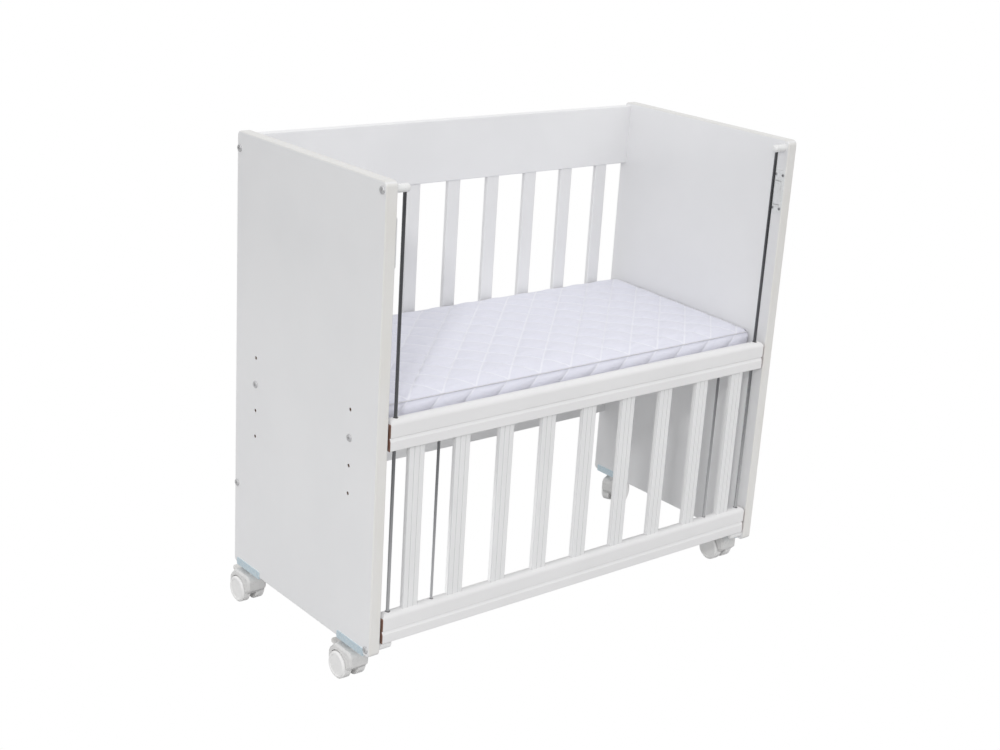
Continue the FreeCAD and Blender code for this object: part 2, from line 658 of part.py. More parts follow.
def drop_rail(name, z, upper):
    """Moulded rail: round top, grooved front, rounded upper corners."""
    body = new_body(name, f"0 - {DROP_LENGTH} / 2", DROP_MID_Y, z)
    front = "0 - drop_rail_thick / 2"
    section = sketch_on(body, name + "_section", "YZ_Plane")
    draw_outline(section, [
        (front, "0"),
        ("drop_rail_thick / 2", "0"),
        ("drop_rail_thick / 2", "drop_rail_height"),
        (front, "drop_rail_height"),
        (front, "groove_height + groove_step"),
        (f"{front} + groove_depth", "groove_height"),
        (front, "groove_height - groove_rise"),
    ])
    pad(body, name + "_length", section, DROP_LENGTH)
    along_x = Vector(1, 0, 0)
    top = value("drop_rail_height")
    crown = "drop_rail_thick / 2 - crown_flat / 2"
    round_off(body, name + "_crown", "Edge",
              runs_along(along_x, lambda point: point.z > top - TOUCH), crown)
    round_off(body, name + "_arris", "Edge",
              runs_along(along_x, lambda point: point.z < TOUCH), "drop_rail_arris")

    corners = sketch_on(body, name + "_corners_sketch", "XZ_Plane")
    draw_corner_waste(corners, "0", "1", "drop_rail_height", "rail_corner")
    draw_corner_waste(corners, DROP_LENGTH, "-1", "drop_rail_height", "rail_corner")
    pocket(body, name + "_corners", corners, both_ways=True)

    guide_x = (f"({DROP_LENGTH} / 2 - {GUIDE_X})", f"({DROP_LENGTH} / 2 + {GUIDE_X})")
    tie_x = (f"({DROP_LENGTH} / 2 - {TIE_X})", f"({DROP_LENGTH} / 2 + {TIE_X})")
    drill(body, name + "_bush_bores", "XY_Plane", [(x, "0", "bush_dia") for x in guide_x])
    if upper:
        drill(body, name + "_tie_bores", "XY_Plane", [(x, "0", "tie_rod_dia") for x in tie_x],
              "0", "tie_rod_grip", backwards=True)
    else:
        drill(body, name + "_tie_bores", "XY_Plane", [(x, "0", "tie_hole_dia") for x in tie_x])
        drill(body, name + "_tie_seats", "XY_Plane", [(x, "0", "tie_seat_dia") for x in tie_x],
              "0", "tie_seat_depth", backwards=True)

    first_x = f"({DROP_LENGTH} / 2 + {DROP_SLAT_X})"
    level = "0" if upper else "drop_rail_height"
    cut_mortises(body, name + "_mortises", first_x, "0", level, DROP_SLAT_PITCH, "drop_slat_width", upper)


def guide_bushes():
    """Four plastic bushes, one at each end of each drop side rail."""
    bore = value("guide_rod_dia + 2 * guide_run_gap")
    height = value("drop_rail_height")
    bush = cylinder(value("bush_dia"), height).cut(cylinder(bore, height))
    y = value(DROP_MID_Y)
    places = []
    for level in (value(DROP_BOTTOM_Z), value(DROP_TOP_Z)):
        for sign in SIDES.values():
            places.append(FreeCAD.Placement(Vector(sign * value(GUIDE_X), y, level), FreeCAD.Rotation()))
    copies("guide_bushes", bush, places)


def tie_rods():
    """Rods that pull the two rails onto the slats, each with its nut and washer below."""
    x = value(TIE_X)
    seat = value(f"{DROP_BOTTOM_Z} + tie_seat_depth")
    washer_thick = value("tie_washer_thick")
    nut_height = value("tie_nut_height")
    rod_dia = value("tie_rod_dia")
    nut_foot = seat - washer_thick - nut_height
    rod_top = value(f"{DROP_TOP_Z} + tie_rod_grip")
    rod = cylinder(rod_dia, rod_top - nut_foot, z=nut_foot)
    washer = cylinder(value("tie_washer_dia"), washer_thick, z=seat - washer_thick)
    nut = hexagon(value("tie_nut_width"), nut_height)
    nut.translate(Vector(0, 0, nut_foot))
    rod_with_nut = rod.fuse([washer, nut]).removeSplitter()
    copies("tie_rods", rod_with_nut,
           [FreeCAD.Placement(Vector(sign * x, value(DROP_MID_Y), 0), FreeCAD.Rotation())
            for sign in SIDES.values()])


def hexagon(width, height):
    """A hexagonal prism, its width across the flats."""
    reach = width / math.sqrt(3)
    points = [Vector(reach * math.cos(math.radians(60 * turn)),
                     reach * math.sin(math.radians(60 * turn)), 0) for turn in range(7)]
    return Part.Face(Part.makePolygon(points)).extrude(Vector(0, 0, height))


def guide_rods():
    """Two steel rods, their ends sunk in the brackets of the panels."""
    foot = f"({BRACKET_LOW_Z} + bracket_dia / 2 - rod_seat)"
    head = f"({BRACKET_HIGH_Z} - bracket_dia / 2 + rod_seat)"
    body = new_body("guide_rods", "0", DROP_MID_Y, foot)
    body.AllowCompound = True
    section = sketch_on(body, "guide_rods_section", "XY_Plane")
    for sign in SIDES.values():
        draw_circle(section, f"{sign} * {GUIDE_X}", "0", "guide_rod_dia")
    pad(body, "guide_rods_length", section, f"{head} - {foot}")


def rod_brackets():
    """Four round plastic pegs off the panels that hold the ends of the guide rods."""
    diameter = value("bracket_dia")
    length = value("guide_inset + bracket_nose")
    along_x = Vector(1, 0, 0)
    peg = cylinder(diameter, length, direction=along_x)
    nose = [edge for edge in peg.Edges if abs(edge.BoundBox.XMin - length) < TOUCH]
    peg = peg.makeChamfer(value("bracket_bevel"), nose)
    bolt_grip = value("short_bolt_length - panel_thick")
    peg = peg.cut(cylinder(value("bolt_dia"), bolt_grip, direction=along_x))
    seat_foot = diameter / 2 - value("rod_seat")
    rod_hole = cylinder(value("guide_rod_dia"), diameter, value("guide_inset"), 0, seat_foot)
    lower = peg.cut(rod_hole)
    upper = lower.mirror(Vector(0, 0, 0), UP)
    y = value(DROP_MID_Y)
    pegs = []
    for shape, level in ((lower, value(BRACKET_LOW_Z)), (upper, value(BRACKET_HIGH_Z))):
        for sign in SIDES.values():
            spot = facing(sign * value(INNER_X), y, level, sign)
            pegs.append(shape.transformed(spot.toMatrix(), True))
    feature = doc.addObject("Part::Feature", "rod_brackets")
    feature.Shape = Part.makeCompound(pegs)
    node(feature, "rod_brackets")


# ---------------------------------------------------------------- bolts, nuts and dowels

def furniture_bolt(length):
    """A bolt along X, its low round head at negative X and its shank at positive X."""
    along_x = Vector(1, 0, 0)
    head_dia = value("bolt_head_dia")
    head_height = value("bolt_head_height")
    shank = cylinder(value("bolt_dia"), length, direction=along_x)
    head = cylinder(head_dia, head_height, x=-head_height, direction=along_x)
    rim = [edge for edge in head.Edges if abs(edge.BoundBox.XMax + head_height) < TOUCH]
    head = head.makeChamfer(head_height / 2, rim)
    socket = hexagon(value("bolt_key_width"), value("bolt_key_depth"))
    socket.rotate(Vector(0, 0, 0), Vector(0, 1, 0), 90)
    socket.translate(Vector(-head_height, 0, 0))
    return head.fuse(shank).removeSplitter().cut(socket)


def outer_face_places(spots):
    """Placements on the outer faces of both panels, at each (y, z)."""
    x = value("crib_length / 2")
    return [facing(sign * x, value(y), value(z), sign) for sign in SIDES.values() for y, z in spots]


def inner_face_places(spots):
    """Placements on the inner faces of both panels, at each (y, z)."""
    x = value(INNER_X)
    return [facing(sign * x, value(y), value(z), sign) for sign in SIDES.values() for y, z in spots]


BOARD_BOLTS = ((REAR_BOARD_MID_Y, f"{REAR_TOP_Z} + rear_rail_height - rail_bolt_margin"),
               (REAR_BOARD_MID_Y, f"{REAR_BOTTOM_Z} + rail_bolt_margin"))
BOARD_DOWELS = ((REAR_BOARD_MID_Y, f"{REAR_TOP_Z} + rail_bolt_margin"),
                (REAR_BOARD_MID_Y, f"{REAR_BOTTOM_Z} + rear_rail_height - rail_bolt_margin"))
ROD_BOLTS = ((DROP_MID_Y, BRACKET_LOW_Z), (DROP_MID_Y, BRACKET_HIGH_Z))
BASE_BOLTS = ((BASE_FRONT_BOLT_Y, BASE_BOLT_Z), (BASE_REAR_BOLT_Y, BASE_BOLT_Z))


def fasteners():
    along_x = Vector(1, 0, 0)
    copies("rail_bolts", furniture_bolt(value("rail_bolt_length")), outer_face_places(BOARD_BOLTS))
    short = furniture_bolt(value("short_bolt_length"))
    copies("rod_bracket_bolts", short, outer_face_places(ROD_BOLTS))
    copies("base_bolts", short, outer_face_places(BASE_BOLTS))

    inset = value("barrel_nut_inset")
    nut_dia = value("barrel_nut_dia")
    nut_length = value("barrel_nut_length")
    rear_face = value("rear_rail_thick / 2")
    nuts = []
    for sign in SIDES.values():
        for y, z in BOARD_BOLTS:
            x = sign * (value(INNER_X) - inset)
            nut = cylinder(nut_dia, nut_length, x, value(y) + rear_face - nut_length,
                           value(z), Vector(0, 1, 0))
            hole = cylinder(value("bolt_dia"), nut_dia, x - nut_dia / 2, value(y), value(z), along_x)
            nuts.append(nut.cut(hole))
    feature = doc.addObject("Part::Feature", "barrel_nuts")
    feature.Shape = Part.makeCompound(nuts)
    node(feature, "barrel_nuts")

    dowel = cylinder(value("dowel_dia"), value("dowel_length"), x=-value("dowel_in_panel"),
                     direction=along_x)
    copies("rail_dowels", dowel, inner_face_places(BOARD_DOWELS))

    gap = value("base_side_gap")
    insert = cylinder(value("insert_dia"), value("insert_length"), x=gap, direction=along_x)
    insert = insert.cut(cylinder(value("bolt_dia"), value("insert_length"), x=gap, direction=along_x))
    copies("insert_nuts", insert, inner_face_places(BASE_BOLTS))


# ---------------------------------------------------------------- mattress base and mattress

END_RAIL_X = f"({INNER_X} - base_side_gap)"
LONG_RAIL_X = f"({END_RAIL_X} - base_rail_thick)"
CORNER_SCREW_Y = ("base_rail_thick / 2", f"{BASE_DEPTH} - base_rail_thick / 2")
CORNER_SCREW_Z = ("base_rail_height / 2 - base_screw_spread / 2",
                  "base_rail_height / 2 + base_screw_spread / 2")


def base_end_rail(side):
    """End rail of the base, with threaded inserts for the bolts through the panel."""
    on_left = side == "left"
    x = f"0 - {END_RAIL_X}" if on_left else LONG_RAIL_X
    body = board(f"base_end_rail_{side}", x, BASE_FRONT_Y, BASE_Z,
                 "base_rail_thick", BASE_DEPTH, "base_rail_height")
    outer = "0" if on_left else "base_rail_thick"
    holes = [(f"{y} - {BASE_FRONT_Y}", "base_rail_height / 2", "insert_dia")
             for y in (BASE_FRONT_BOLT_Y, BASE_REAR_BOLT_Y)]
    drill(body, f"insert_bores_{side}", "YZ_Plane", holes, outer, "insert_length", backwards=on_left)
    screws = [(y, z, "base_screw_dia") for y in CORNER_SCREW_Y for z in CORNER_SCREW_Z]
    drill(body, f"corner_screw_holes_{side}", "YZ_Plane", screws)


def base_long_rails():
    """Front and rear rail of the base, between the two end rails."""
    body = new_body("base_long_rails", f"0 - {LONG_RAIL_X}", BASE_FRONT_Y, BASE_Z)
    body.AllowCompound = True
    outline = sketch_on(body, "long_rails_outline", "XY_Plane")
    for y in ("0", f"{BASE_DEPTH} - base_rail_thick"):
        draw_rectangle(outline, "0", f"2 * {LONG_RAIL_X}", y, f"{y} + base_rail_thick")
    pad(body, "long_rails_height", outline, "base_rail_height")
    screws = [(y, z, "base_screw_dia") for y in CORNER_SCREW_Y for z in CORNER_SCREW_Z]
    depth = "base_screw_length - base_rail_thick"
    drill(body, "long_rail_pilots_left", "YZ_Plane", screws, "0", depth, backwards=True)
    drill(body, "long_rail_pilots_right", "YZ_Plane", screws, f"2 * {LONG_RAIL_X}", depth)


def base_board():
    """Board with air holes, let in between the rails and level with their tops."""
    length = f"(2 * {LONG_RAIL_X} - 2 * base_board_gap)"
    depth = f"({BASE_DEPTH} - 2 * base_rail_thick - 2 * base_board_gap)"
    body = board("base_board", f"0 - {length} / 2",
                 f"{BASE_FRONT_Y} + base_rail_thick + base_board_gap",
                 f"{BASE_TOP_Z} - base_board_thick", length, depth, "base_board_thick")
    first_x = f"{length} / 2 - (vent_columns - 1) / 2 * vent_pitch_long"
    first_y = f"{depth} / 2 - (vent_rows - 1) / 2 * vent_pitch_deep"
    vent = drill(body, "vent", "XY_Plane", [(first_x, first_y, "vent_dia")])
    grid = body.newObject("PartDesign::LinearPattern", "vents")
    grid.Originals = [vent]
    grid.Direction = (vent.Profile[0], ["H_Axis"])
    grid.Direction2 = (vent.Profile[0], ["V_Axis"])
    grid.setExpression("Length", formula("(vent_columns - 1) * vent_pitch_long"))
    grid.setExpression("Length2", formula("(vent_rows - 1) * vent_pitch_deep"))
    grid.setExpression("Occurrences", formula("vent_columns"))
    grid.setExpression("Occurrences2", formula("vent_rows"))
    body.Tip = grid
    doc.recompute()


def base_battens():
    """Two battens inside the long rails that carry the board."""
    length = value(f"2 * {LONG_RAIL_X}")
    width = value("batten_width")
    top = value(f"{BASE_TOP_Z} - base_board_thick")
    front = value(f"{BASE_FRONT_Y} + base_rail_thick")
    rear = value(f"{BASE_REAR_Y} - base_rail_thick") - width
    batten = Part.makeBox(length, width, width, Vector(-length / 2, 0, top - width))
    copies("base_battens", batten, [FreeCAD.Placement(Vector(0, y, 0), FreeCAD.Rotation())
                                    for y in (front, rear)])


def base_screws():
    """Screws let in level with the end rails' outer faces, two in each corner."""
    screw = cylinder(value("base_screw_dia"), value("base_screw_length"), direction=Vector(1, 0, 0))
    x = value(END_RAIL_X)
    places = []
    for sign in SIDES.values():
        for y in CORNER_SCREW_Y:
            for z in CORNER_SCREW_Z:
                spot_y = value(f"{BASE_FRONT_Y} + {y}")
                places.append(facing(sign * x, spot_y, value(f"{BASE_Z} + {z}"), sign))
    copies("base_screws", screw, places)


def rounded_ring(length, depth, radius, z):
    """A level rectangle with rounded corners, about the origin."""
    x = length / 2
    y = depth / 2
    slant = radius * (1 - math.sqrt(0.5))
    edges = []
    for turn in range(4):
        half_x, half_y = (x, y) if turn % 2 == 0 else (y, x)
        spin = FreeCAD.Rotation(UP, 90 * turn)
        lower = Vector(half_x, -(half_y - radius), z)
        upper = Vector(half_x, half_y - radius, z)
        bend = Vector(half_x - slant, half_y - slant, z)
        after = Vector(half_x - radius, half_y, z)
        points = [spin.multVec(point) for point in (lower, upper, bend, after)]
        edges.append(Part.LineSegment(points[0], points[1]).toShape())
        edges.append(Part.Arc(points[1], points[2], points[3]).toShape())
    return Part.Wire(edges)


def mattress():
    """Soft mattress: sides that swell between two sewn edges, under a domed top."""
    rear_y = value(f"{REAR_BOARD_FRONT_Y} - mattress_rear_gap")
    front_y = value(f"{FRONT_Y} + drop_rail_thick + mattress_front_gap")
    length = value(f"2 * {INNER_X} - 2 * mattress_end_gap")
    depth = rear_y - front_y
    corner = value("mattress_corner")
    side = value("mattress_side")
    crown = value("mattress_crown")
    swell = value("mattress_swell")
    reach = value("crown_reach")
    foot = value(f"{BASE_TOP_Z} + mattress_rest")
    steps = int(value("mattress_steps"))
    rings = []
    for step in range(steps + 1):
        share = step / steps
        rings.append((swell * (1 - math.sin(math.pi * share)), foot + side * share))
    for step in range(1, steps + 1):
        angle = math.pi / 2 * step / steps
        rings.append((swell + reach * (1 - math.cos(angle)), foot + side + crown * math.sin(angle)))
    wires = [rounded_ring(length - 2 * inset, depth - 2 * inset, corner, level)
             for inset, level in rings]
    feature = doc.addObject("Part::Feature", "mattress")
    feature.Shape = Part.makeLoft(wires, True, True)
    feature.Placement = FreeCAD.Placement(Vector(0, (front_y + rear_y) / 2, 0), FreeCAD.Rotation())
    node(feature, "mattress")


# ---------------------------------------------------------------- catches for the raised drop side

FRAME_HALF = "(tongue_width / 2 + tongue_gap + latch_frame_wall)"
PIVOT_OUT = "(tongue_gap + tongue_thick_foot / 2)"


def latch_plate(side):
    """Plate screwed to the panel, with a raised frame that the tongue pivots in."""
    sign = SIDES[side]
    turn = "0" if side == "left" else "180"
    body = new_body(f"latch_plate_{side}", f"{sign} * {INNER_X}", LATCH_Y, LATCH_Z, turn)
    outline = sketch_on(body, f"latch_outline_{side}", "YZ_Plane")
    draw_rectangle(outline, "0 - latch_width / 2", "latch_width / 2", "0", "latch_height")
    pad(body, f"latch_sheet_{side}", outline, "latch_thick")
    round_off(body, f"latch_corners_{side}", "Edge", runs_along(Vector(1, 0, 0)), "latch_corner")
    frame = sketch_on(body, f"latch_frame_sketch_{side}", "YZ_Plane")
    draw_rectangle(frame, f"0 - {FRAME_HALF}", FRAME_HALF,
                   "latch_frame_foot", "latch_frame_foot + latch_frame_height")
    pad(body, f"latch_frame_{side}", frame, "latch_frame_thick")
    window = sketch_on(body, f"latch_window_sketch_{side}", "YZ_Plane")
    half = "(tongue_width / 2 + tongue_gap)"
    draw_rectangle(window, f"0 - {half}", half, "latch_frame_foot + latch_window_foot",
                   "latch_frame_foot + latch_frame_height - latch_window_foot")
    pocket(body, f"latch_window_{side}", window, both_ways=True)
    drill(body, f"latch_pivot_bores_{side}", "XZ_Plane",
          [(PIVOT_OUT, "tongue_pivot_height", "pivot_dia + 2 * pivot_run_gap")])
    screws = [(f"{along} * latch_screw_spread / 2", level, "latch_screw_dia")
              for along in ("-1", "1") for level in ("latch_screw_low", "latch_screw_high")]
    drill(body, f"latch_screw_holes_{side}", "YZ_Plane", screws)


def latch_tongue(side):
    """Wedge that swings out of its frame and holds the raised rail on its ledge."""
    sign = SIDES[side]
    turn = "0" if side == "left" else "180"
    body = new_body(f"latch_tongue_{side}", f"{sign} * {INNER_X}", LATCH_Y, LATCH_Z, turn)
    profile = sketch_on(body, f"tongue_profile_{side}", "XZ_Plane")
    draw_outline(profile, [
        ("tongue_gap", "tongue_pivot_height"),
        ("tongue_gap + tongue_thick_foot", "tongue_pivot_height"),
        ("tongue_gap + tongue_thick_top", "ledge_height"),
        ("tongue_gap", "ledge_height"),
    ])
    pad(body, f"tongue_wedge_{side}", profile, "tongue_width", both_ways=True)
    heel = sketch_on(body, f"tongue_heel_sketch_{side}", "XZ_Plane")
    draw_circle(heel, PIVOT_OUT, "tongue_pivot_height", "tongue_thick_foot")
    pad(body, f"tongue_heel_{side}", heel, "tongue_width", both_ways=True)
    pins = sketch_on(body, f"tongue_pins_sketch_{side}", "XZ_Plane")
    draw_circle(pins, PIVOT_OUT, "tongue_pivot_height", "pivot_dia")
    pad(body, f"tongue_pins_{side}", pins, f"2 * {FRAME_HALF}", both_ways=True)


def latch_screws():
    along_x = Vector(1, 0, 0)
    thick = value("latch_thick")
    shank = cylinder(value("latch_screw_dia"), value("latch_screw_length"),
                     x=thick - value("latch_screw_length"), direction=along_x)
    head = cylinder(value("latch_screw_head"), value("latch_screw_rise"), x=thick, direction=along_x)
    screw = shank.fuse(head).removeSplitter()
    spots = [(f"{LATCH_Y} + {along} * latch_screw_spread / 2", f"{LATCH_Z} + {level}")
             for along in ("-1", "1") for level in ("latch_screw_low", "latch_screw_high")]
    copies("latch_screws", screw, inner_face_places(spots))


# ---------------------------------------------------------------- casters

def saddle(corner):
    """Zinc saddle over the panel's bottom edge, with the tube that takes the stem."""
    sign, y = CASTERS[corner]
    body = new_body(f"caster_saddle_{corner}", f"{sign} * {SADDLE_X}", y, "ground_gap")
    half_in = "panel_thick / 2"
    half_out = "(panel_thick / 2 + saddle_wall)"
    section = sketch_on(body, f"saddle_section_{corner}", "XZ_Plane")
    draw_outline(section, [
        (f"0 - {half_out}", "0 - saddle_floor"),
        (half_out, "0 - saddle_floor"),
        (half_out, "saddle_rise"),
        (half_in, "saddle_rise"),
        (half_in, "0"),
        (f"0 - {half_in}", "0"),
        (f"0 - {half_in}", "saddle_rise"),
        (f"0 - {half_out}", "saddle_rise"),
    ])
    pad(body, f"saddle_channel_{corner}", section, "saddle_length", both_ways=True)
    rise = value("saddle_rise")
    round_off(body, f"saddle_corners_{corner}", "Edge",
              runs_along(Vector(1, 0, 0), lambda point: point.z > rise - TOUCH), "saddle_corner")
    tube = sketch_on(body, f"saddle_tube_sketch_{corner}", "XY_Plane", "0 - saddle_floor")
    draw_circle(tube, "0", "0", "socket_dia")
    pad(body, f"saddle_tube_{corner}", tube, "saddle_floor + socket_height")
    drill(body, f"saddle_bore_{corner}", "XY_Plane", [("0", "0", "stem_dia + 2 * stem_run_gap")])
    drill(body, f"saddle_screw_holes_{corner}", "XY_Plane",
          [("0", f"{along} * saddle_screw_spread / 2", "saddle_screw_dia") for along in ("-1", "1")])


def saddle_screws():
    rise = value("saddle_screw_length - saddle_floor")
    floor = value("saddle_floor")
    head_height = value("saddle_screw_rise")
    shank = cylinder(value("saddle_screw_dia"), rise + floor, z=-floor)
    head = cylinder(value("saddle_screw_head"), head_height, z=-floor - head_height)
    screw = shank.fuse(head).removeSplitter()
    places = []
    for sign, y in CASTERS.values():
        for along in (-1, 1):
            spot_y = value(y) + along * value("saddle_screw_spread / 2")
            places.append(FreeCAD.Placement(Vector(sign * value(SADDLE_X), spot_y, value("ground_gap")),
                                            FreeCAD.Rotation()))
    copies("saddle_screws", screw, places)


def caster_body(name, corner):
    """A body on the floor under a stem, its Y axis pointing the way that the caster trails."""
    sign, y = CASTERS[corner]
    return new_body(f"{name}_{corner}", f"{sign} * {SADDLE_X}", y, "0", f"heading_{corner} - 90")


def caster_stem(corner):
    body = caster_body("caster_stem", corner)
    section = sketch_on(body, f"stem_section_{corner}", "XY_Plane", "stem_foot")
    draw_circle(section, "0", "0", "stem_dia")
    pad(body, f"stem_rod_{corner}", section, "ground_gap + stem_reach - stem_foot")


def caster_hood(corner):
    """Moulded hood over both wheels, with the web, the collar and the slot for the brake."""
    body = caster_body("caster_hood", corner)
    middle = "caster_trail"
    side = sketch_on(body, f"hood_side_{corner}", "YZ_Plane")
    draw_outline(side, [
        ("hood_chin - hood_front", "hood_skirt"),
        ("0 - hood_front", "hood_skirt + hood_chin"),
        ("0 - hood_front", "hood_top"),
        ("hood_rear - hood_shoulder", "hood_top"),
        ("hood_rear", "hood_top - hood_shoulder"),
        ("hood_rear", "hood_skirt"),
        (f"{middle} + web_half + hood_skirt - web_foot", "hood_skirt"),
        (f"{middle} + web_half", "web_foot"),
        (f"{middle} - web_half", "web_foot"),
        (f"{middle} - web_half - hood_skirt + web_foot", "hood_skirt"),
    ])
    pad(body, f"hood_block_{corner}", side, "hood_width", both_ways=True)
    shoulder = value("hood_top - hood_shoulder")
    round_off(body, f"hood_rounds_{corner}", "Edge",
              runs_along(Vector(1, 0, 0), lambda point: point.z > shoulder - TOUCH), "hood_round")
    half = value("hood_width / 2")

    def on_a_side(face):
        return flat_at(0, half)(face) or flat_at(0, -half)(face)
    bevel(body, f"hood_arris_{corner}", "Face", on_a_side, "hood_arris")

    well = "2 * (wheel_radius + well_gap)"
    drill(body, f"well_right_{corner}", "YZ_Plane", [(middle, "wheel_radius", well)],
          "hood_web / 2", "hood_width", backwards=True)
    drill(body, f"well_left_{corner}", "YZ_Plane", [(middle, "wheel_radius", well)],
          "0 - hood_web / 2", "hood_width")
    slot = sketch_on(body, f"brake_slot_sketch_{corner}", "YZ_Plane")
    draw_rectangle(slot, "brake_slot_front", "hood_rear + brake_slot_gap",
                   "brake_slot_foot", "hood_top + brake_slot_gap")
    pocket(body, f"brake_slot_{corner}", slot, "brake_width + 2 * brake_slot_gap", both_ways=True)
    drill(body, f"brake_pin_bore_{corner}", "YZ_Plane",
          [("brake_back", "brake_height", "brake_pin_dia + 2 * brake_run_gap")],
          "0", "brake_pin_length + 2 * brake_pin_end_gap", both_ways=True)
    neck = sketch_on(body, f"neck_sketch_{corner}", "XY_Plane", "hood_top - hood_arris")
    draw_circle(neck, "0", "0", "neck_dia")
    pad(body, f"neck_{corner}", neck, "ground_gap - saddle_floor - neck_gap - hood_top + hood_arris")
    drill(body, f"stem_bore_{corner}", "XY_Plane", [("0", "0", "stem_dia")],
          "stem_foot", "ground_gap", backwards=True)
    drill(body, f"axle_bore_{corner}", "YZ_Plane", [(middle, "wheel_radius", "axle_dia")])


def brake_lever(corner):
    """Lever on moulded pins at the back of the hood, its tab standing out behind."""
    body = caster_body("brake_lever", corner)
    side = sketch_on(body, f"tab_side_{corner}", "YZ_Plane")
    half = "brake_tab_thick / 2"
    tip_y = "brake_back + brake_reach"
    tip_z = "brake_height + brake_tab_rise"
    draw_outline(side, [
        ("brake_back", f"brake_height - {half}"),
        (tip_y, f"{tip_z} - {half}"),
        (tip_y, f"{tip_z} + {half}"),
        ("brake_back", f"brake_height + {half}"),
    ])
    pad(body, f"tab_{corner}", side, "brake_width", both_ways=True)
    tip = value(tip_y)
    round_off(body, f"tab_corners_{corner}", "Edge",
              runs_along(UP, lambda point: point.y > tip - TOUCH), "brake_tab_round")
    hub = sketch_on(body, f"brake_hub_sketch_{corner}", "YZ_Plane")
    draw_circle(hub, "brake_back", "brake_height", "brake_hub_dia")
    pad(body, f"brake_hub_{corner}", hub, "brake_width", both_ways=True)
    pins = sketch_on(body, f"brake_pins_sketch_{corner}", "YZ_Plane")
    draw_circle(pins, "brake_back", "brake_height", "brake_pin_dia")
    pad(body, f"brake_pins_{corner}", pins, "brake_pin_length", both_ways=True)


def wheel_axle(corner):
    body = caster_body("wheel_axle", corner)
    section = sketch_on(body, f"axle_section_{corner}", "YZ_Plane")
    draw_circle(section, "caster_trail", "wheel_radius", "axle_dia")
    pad(body, f"axle_rod_{corner}", section, "axle_length", both_ways=True)


def wheel(corner, name, sign):
    """One wheel, turned about the axle: bevelled tread, raised rim and dished outer face."""
    body = caster_body(f"wheel_{name}", corner)
    inner = "(hood_web / 2 + wheel_side_gap)"
    outer = f"({inner} + wheel_width)"
    dish = f"({outer} - wheel_dish)"
    bore_end = "(axle_length / 2 + axle_end_gap)"
    bore = "(axle_dia / 2 + axle_run_gap)"
    rim = "(wheel_radius - wheel_arris)"
    across = [
        (inner, bore),
        (inner, "wheel_radius - wheel_arris / 2"),
        (f"{inner} + wheel_arris / 2", "wheel_radius"),
        (f"{outer} - wheel_arris", "wheel_radius"),
        (outer, rim),
        (outer, f"{rim} - wheel_rim"),
        (dish, f"{rim} - wheel_rim - wheel_dish"),
        (dish, "0"),
        (bore_end, "0"),
        (bore_end, bore),
    ]
    section = sketch_on(body, f"wheel_section_{name}_{corner}", "XZ_Plane",
                        "0 - caster_trail", "wheel_radius")
    draw_outline(section, [(f"{sign} * ({x})", radius) for x, radius in across])
    turned = body.newObject("PartDesign::Revolution", f"wheel_turned_{name}_{corner}")
    turned.Profile = section
    turned.ReferenceAxis = (section, ["H_Axis"])
    turned.Angle = 360
    doc.recompute()


# ---------------------------------------------------------------- the whole crib

def build():
    for side in SIDES:
        end_panel(side)
    rear_board("rear_top_board", REAR_TOP_Z, True)
    rear_board("rear_bottom_board", REAR_BOTTOM_Z, False)
    rear_slat_foot = f"({REAR_BOTTOM_Z} + rear_rail_height - slat_tenon)"
    slats("rear_slats", REAR_SLAT_X, REAR_BOARD_MID_Y, rear_slat_foot,
          f"{REAR_TOP_Z} + slat_tenon - {rear_slat_foot}", REAR_SLAT_PITCH, "slat_width", "1")

    drop_rail("drop_top_rail", DROP_TOP_Z, True)
    drop_rail("drop_bottom_rail", DROP_BOTTOM_Z, False)
    drop_slat_foot = f"({DROP_BOTTOM_Z} + drop_rail_height - slat_tenon)"
    slats("drop_slats", DROP_SLAT_X, DROP_MID_Y, drop_slat_foot,
          f"{DROP_TOP_Z} + slat_tenon - {drop_slat_foot}", DROP_SLAT_PITCH,
          "drop_slat_width", "-1")
    guide_bushes()
    tie_rods()
    guide_rods()
    rod_brackets()
    fasteners()

    for side in SIDES:
        base_end_rail(side)
    base_long_rails()
    base_board()
    base_battens()
    base_screws()
    mattress()

    for side in SIDES:
        latch_plate(side)
        latch_tongue(side)
    latch_screws()

    for corner in CASTERS:
        saddle(corner)
        caster_stem(corner)
        caster_hood(corner)
        brake_lever(corner)
        wheel_axle(corner)
        wheel(corner, "right", "1")
        wheel(corner, "left", "-1")
    saddle_screws()


def check_and_write():
    """Stop if anything failed, then write each piece to a file of its own name."""
    doc.recompute()
    for item in doc.Objects:
        if "Invalid" in item.State or "Error" in item.State:
            raise RuntimeError(f"{item.Label} failed: {item.State}")
    for piece in nodes:
        if piece.Shape.isNull() or not piece.Shape.isValid():
            raise RuntimeError(f"{piece.Label} has no valid shape")
    os.makedirs("parts", exist_ok=True)
    for piece in nodes:
        piece.Shape.exportStep(f"parts/{piece.Label}.step")
        print(f"{piece.Label}: {len(piece.Shape.Solids)} solid(s), {piece.Shape.Volume:.0f} mm3")


build()
check_and_write()
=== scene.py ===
import bpy
import bmesh
import json
import math
import numpy as np
from mathutils import Matrix, Vector


